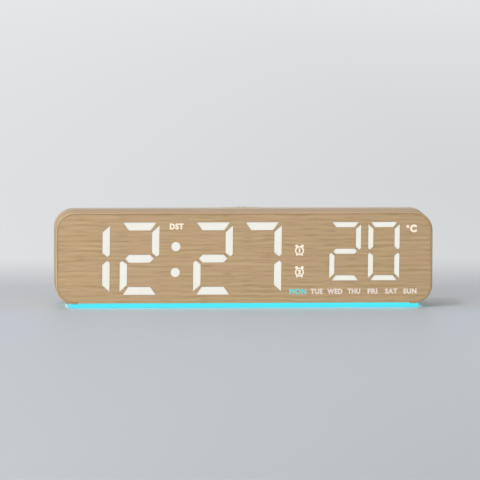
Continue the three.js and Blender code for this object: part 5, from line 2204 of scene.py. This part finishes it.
@dataclass
class Studio:
    """The camera, the lamps and the pale floor. Sizes in metres, angles in degrees."""

    levels: Levels
    distance: float = 3.178
    lens: float = 450.0
    azimuth: float = -3.85
    pitch: float = 5.02
    roll: float = 0.17
    image_width: int = 480
    face_middle_pixel: Point = (244.55, 258.12)
    clip_end: float = 50.0
    floor_size: float = 12.0
    floor_roughness: float = 0.5
    floor_specular: float = 0.2
    floor_reach: Point = (0.0, -0.75)
    # The near floor's colour from the clock forwards: bluer just in front of the clock, then darker towards
    # the front. That darkening is painted shade, which offsets the low soft box that lights the front of the
    # floor more.
    floor_tones_with_painted_shade: tuple[tuple[float, str], ...] = (
        (0.0, "#c6c9cd"),
        (0.06, "#c7cfd7"),
        (0.35, "#c4cacf"),
        (1.0, "#b6bbbf"),
    )
    backdrop: str = "#dbdcde"
    # The backdrop's painted light: lighter on the left and far back, and darker on the right, as if the
    # light falls from the left.
    backdrop_painted_light_left: str = "#e2e3e5"
    backdrop_painted_shade_right: str = "#d4d5d7"
    backdrop_painted_light_far: str = "#e9eaec"
    backdrop_width: Point = (-0.22, 0.22)
    backdrop_reach: Point = (0.8, 3.6)
    backdrop_rise: float = 0.75
    fade_behind: Point = (0.07, 0.3)
    fade_around: Point = (1.2, 2.4)
    lamps: tuple[Lamp, ...] = (
        Lamp("soft_box", -40.0, 7.0, 1.3, 0.9, 10.9),
        Lamp("high_key", -45.0, 62.0, 2.2, 0.3, 7.0),
    )
    fill: float = 0.825
    flags: tuple[tuple[float, float], ...] = ((0.0, 0.7), (0.25, 1.0), (0.55, 1.0), (0.9, 0.15))

    def build(self) -> None:
        """Sets up the camera, the lamps, the world and the floor."""
        self.add_camera()
        self.add_lamps()
        self.add_world()
        self.add_floor()

    def add_camera(self) -> None:
        """A long lens that puts the middle of the face on its pixel in the photograph."""
        camera = holding(bpy.data.cameras.new("camera"), "camera")
        camera.data.lens = self.lens
        camera.data.clip_end = self.clip_end
        turn = Matrix.Rotation(math.radians(self.azimuth), 4, "Z")
        tilt = Matrix.Rotation(math.radians(90.0 - self.pitch), 4, "X")
        spin = Matrix.Rotation(math.radians(self.roll), 4, "Z")
        facing = turn @ tilt @ spin
        metres_per_pixel = self.distance * camera.data.sensor_width / self.lens / self.image_width
        middle = self.image_width / 2
        right = (self.face_middle_pixel[0] - middle) * metres_per_pixel
        down = (self.face_middle_pixel[1] - middle) * metres_per_pixel
        face = Vector((0.0, self.levels.front * MM, self.levels.middle * MM))
        place = face - facing @ Vector((right, -down, -self.distance))
        camera.matrix_world = Matrix.Translation(place) @ facing
        bpy.context.scene.camera = camera

    def add_lamps(self) -> None:
        """Places the lamps round the clock: a broad soft box low on the left, and a smaller one high up."""
        for plan in self.lamps:
            lamp = bpy.data.lights.new(plan.name, "AREA")
            lamp.shape = "DISK"
            lamp.size = plan.size
            lamp.energy = plan.power
            holder = holding(lamp, plan.name)
            around, up = math.radians(plan.azimuth), math.radians(plan.elevation)
            way = Vector((math.sin(around) * math.cos(up), -math.cos(around) * math.cos(up), math.sin(up)))
            target = Vector((0.0, 0.0, self.levels.middle * MM))
            turn = (-way).to_track_quat("-Z", "Y").to_matrix().to_4x4()
            holder.matrix_world = Matrix.Translation(target + way * plan.distance) @ turn

    def add_world(self) -> None:
        """A soft fill with a dark flag on the right. The camera and reflections see the backdrop instead."""
        world = bpy.data.worlds.new("studio")
        bpy.context.scene.world = world
        world.use_nodes = True
        tree = world.node_tree
        soft = tree.nodes["Background"]
        soft.inputs["Strength"].default_value = self.fill
        way = add_node(tree, "ShaderNodeTexCoord").outputs["Generated"]
        aside = add_node(tree, "ShaderNodeSeparateXYZ", {0: way}).outputs["X"]
        across = add_node(tree, "ShaderNodeMapRange", {"Value": aside, "From Min": -1.0}).outputs[0]
        stops = [(share, (level, level, level, 1.0)) for share, level in self.flags]
        shaded = add_node(tree, "ShaderNodeValToRGB", {"Fac": across}, stops)
        tree.links.new(shaded.outputs[0], soft.inputs["Color"])
        seen = add_node(tree, "ShaderNodeBackground", {"Color": linear(self.backdrop), "Strength": 1.0})
        inputs = {0: self.seen_share(tree), 1: soft.outputs[0], 2: seen.outputs[0]}
        mixed = add_node(tree, "ShaderNodeMixShader", inputs)
        tree.links.new(mixed.outputs[0], tree.nodes["World Output"].inputs[0])

    @staticmethod
    def seen_share(tree: Tree) -> Socket:
        """Which rays see the backdrop.

        Args:
            tree: The tree of the world or of the floor.

        Returns:
            1 for the camera's rays and for rays from glossy and clear surfaces.
        """
        rays = add_node(tree, "ShaderNodeLightPath").outputs
        inputs = {0: rays["Is Camera Ray"], 1: rays["Is Glossy Ray"]}
        either = add_node(tree, "ShaderNodeMath", inputs, operation="MAXIMUM")
        inputs = {0: either.outputs[0], 1: rays["Is Transmission Ray"]}
        return add_node(tree, "ShaderNodeMath", inputs, operation="MAXIMUM").outputs[0]

    def add_floor(self) -> None:
        """A pale floor that keeps the shadow near the clock, darkens towards the front in painted shade and
        turns further out into the backdrop, whose painted light is lighter on the left and far back and
        darker on the right.
        """
        bm = bmesh.new()
        bmesh.ops.create_grid(bm, x_segments=2, y_segments=2, size=self.floor_size / 2)
        mesh = bpy.data.meshes.new("floor")
        bm.to_mesh(mesh)
        bm.free()
        material, tree, near = blank_material("pale studio floor")
        near.inputs["Roughness"].default_value = self.floor_roughness
        near.inputs["Specular IOR Level"].default_value = self.floor_specular
        place = add_node(tree, "ShaderNodeTexCoord").outputs["Object"]
        parts = add_node(tree, "ShaderNodeSeparateXYZ", {0: place}).outputs
        radius = add_node(tree, "ShaderNodeVectorMath", {0: place}, operation="LENGTH").outputs["Value"]
        ramps = {
            "forward": (parts["Y"], self.floor_reach, 1.0, "LINEAR"),
            "behind": (parts["Y"], self.fade_behind, 1.0, "SMOOTHSTEP"),
            "around": (radius, self.fade_around, 1.0, "SMOOTHSTEP"),
            # The across and rise shares spread the backdrop's painted light and shade.
            "across": (parts["X"], self.backdrop_width, 1.0, "LINEAR"),
            "rise": (parts["Y"], self.backdrop_reach, self.backdrop_rise, "LINEAR"),
        }
        shares = {}
        for name, (value, (near_end, far_end), most, kind) in ramps.items():
            inputs = {"Value": value, "From Min": near_end, "From Max": far_end, "To Max": most}
            shares[name] = add_node(tree, "ShaderNodeMapRange", inputs, interpolation_type=kind).outputs[0]
        # The near floor darkens towards the front: painted shade against the low soft box's light.
        stops = [(share, linear(tone)) for share, tone in self.floor_tones_with_painted_shade]
        pale = add_node(tree, "ShaderNodeValToRGB", {"Fac": shares["forward"]}, stops).outputs[0]
        tree.links.new(pale, near.inputs["Base Color"])
        inputs = {0: shares["behind"], 1: shares["around"]}
        away = add_node(tree, "ShaderNodeMath", inputs, operation="MAXIMUM").outputs[0]
        # Painted light on the backdrop: lighter on the left, darker on the right, and lighter again further
        # back.
        inputs = {0: shares["across"], 6: linear(self.backdrop_painted_light_left), 7: linear(self.backdrop_painted_shade_right)}
        level = add_node(tree, "ShaderNodeMix", inputs, data_type="RGBA").outputs[2]
        inputs = {0: shares["rise"], 6: level, 7: linear(self.backdrop_painted_light_far)}
        color = add_node(tree, "ShaderNodeMix", inputs, data_type="RGBA").outputs[2]
        far = add_node(tree, "ShaderNodeEmission", {"Color": color, "Strength": 1.0})
        inputs = {0: away, 1: self.seen_share(tree)}
        both = add_node(tree, "ShaderNodeMath", inputs, operation="MULTIPLY")
        inputs = {0: both.outputs[0], 1: near.outputs[0], 2: far.outputs[0]}
        mixed = add_node(tree, "ShaderNodeMixShader", inputs)
        tree.links.new(mixed.outputs[0], tree.nodes["Material Output"].inputs[0])
        mesh.materials.append(material)
        floor = holding(mesh, "floor")


def main() -> None:
    """Loads the frame and builds the clock's looks around it."""
    logging.basicConfig(level=logging.INFO, format="%(name)s %(message)s")
    for default in list(bpy.data.objects):
        bpy.data.objects.remove(default)
    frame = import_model()
    bpy.context.scene.view_settings.view_transform = "Standard"
    levels = Levels.from_frame()
    shop = Workshop(Finishes())
    housing = Housing(shop, levels)
    housing.build()
    Face(shop, levels, housing).build()
    RearCover(shop, levels, housing).build()
    Base(shop, levels).build()
    InnerParts(frame["nodes"], frame["record"], shop.finishes).dress()
    Studio(levels).build()


if __name__ == "__main__":
    main()
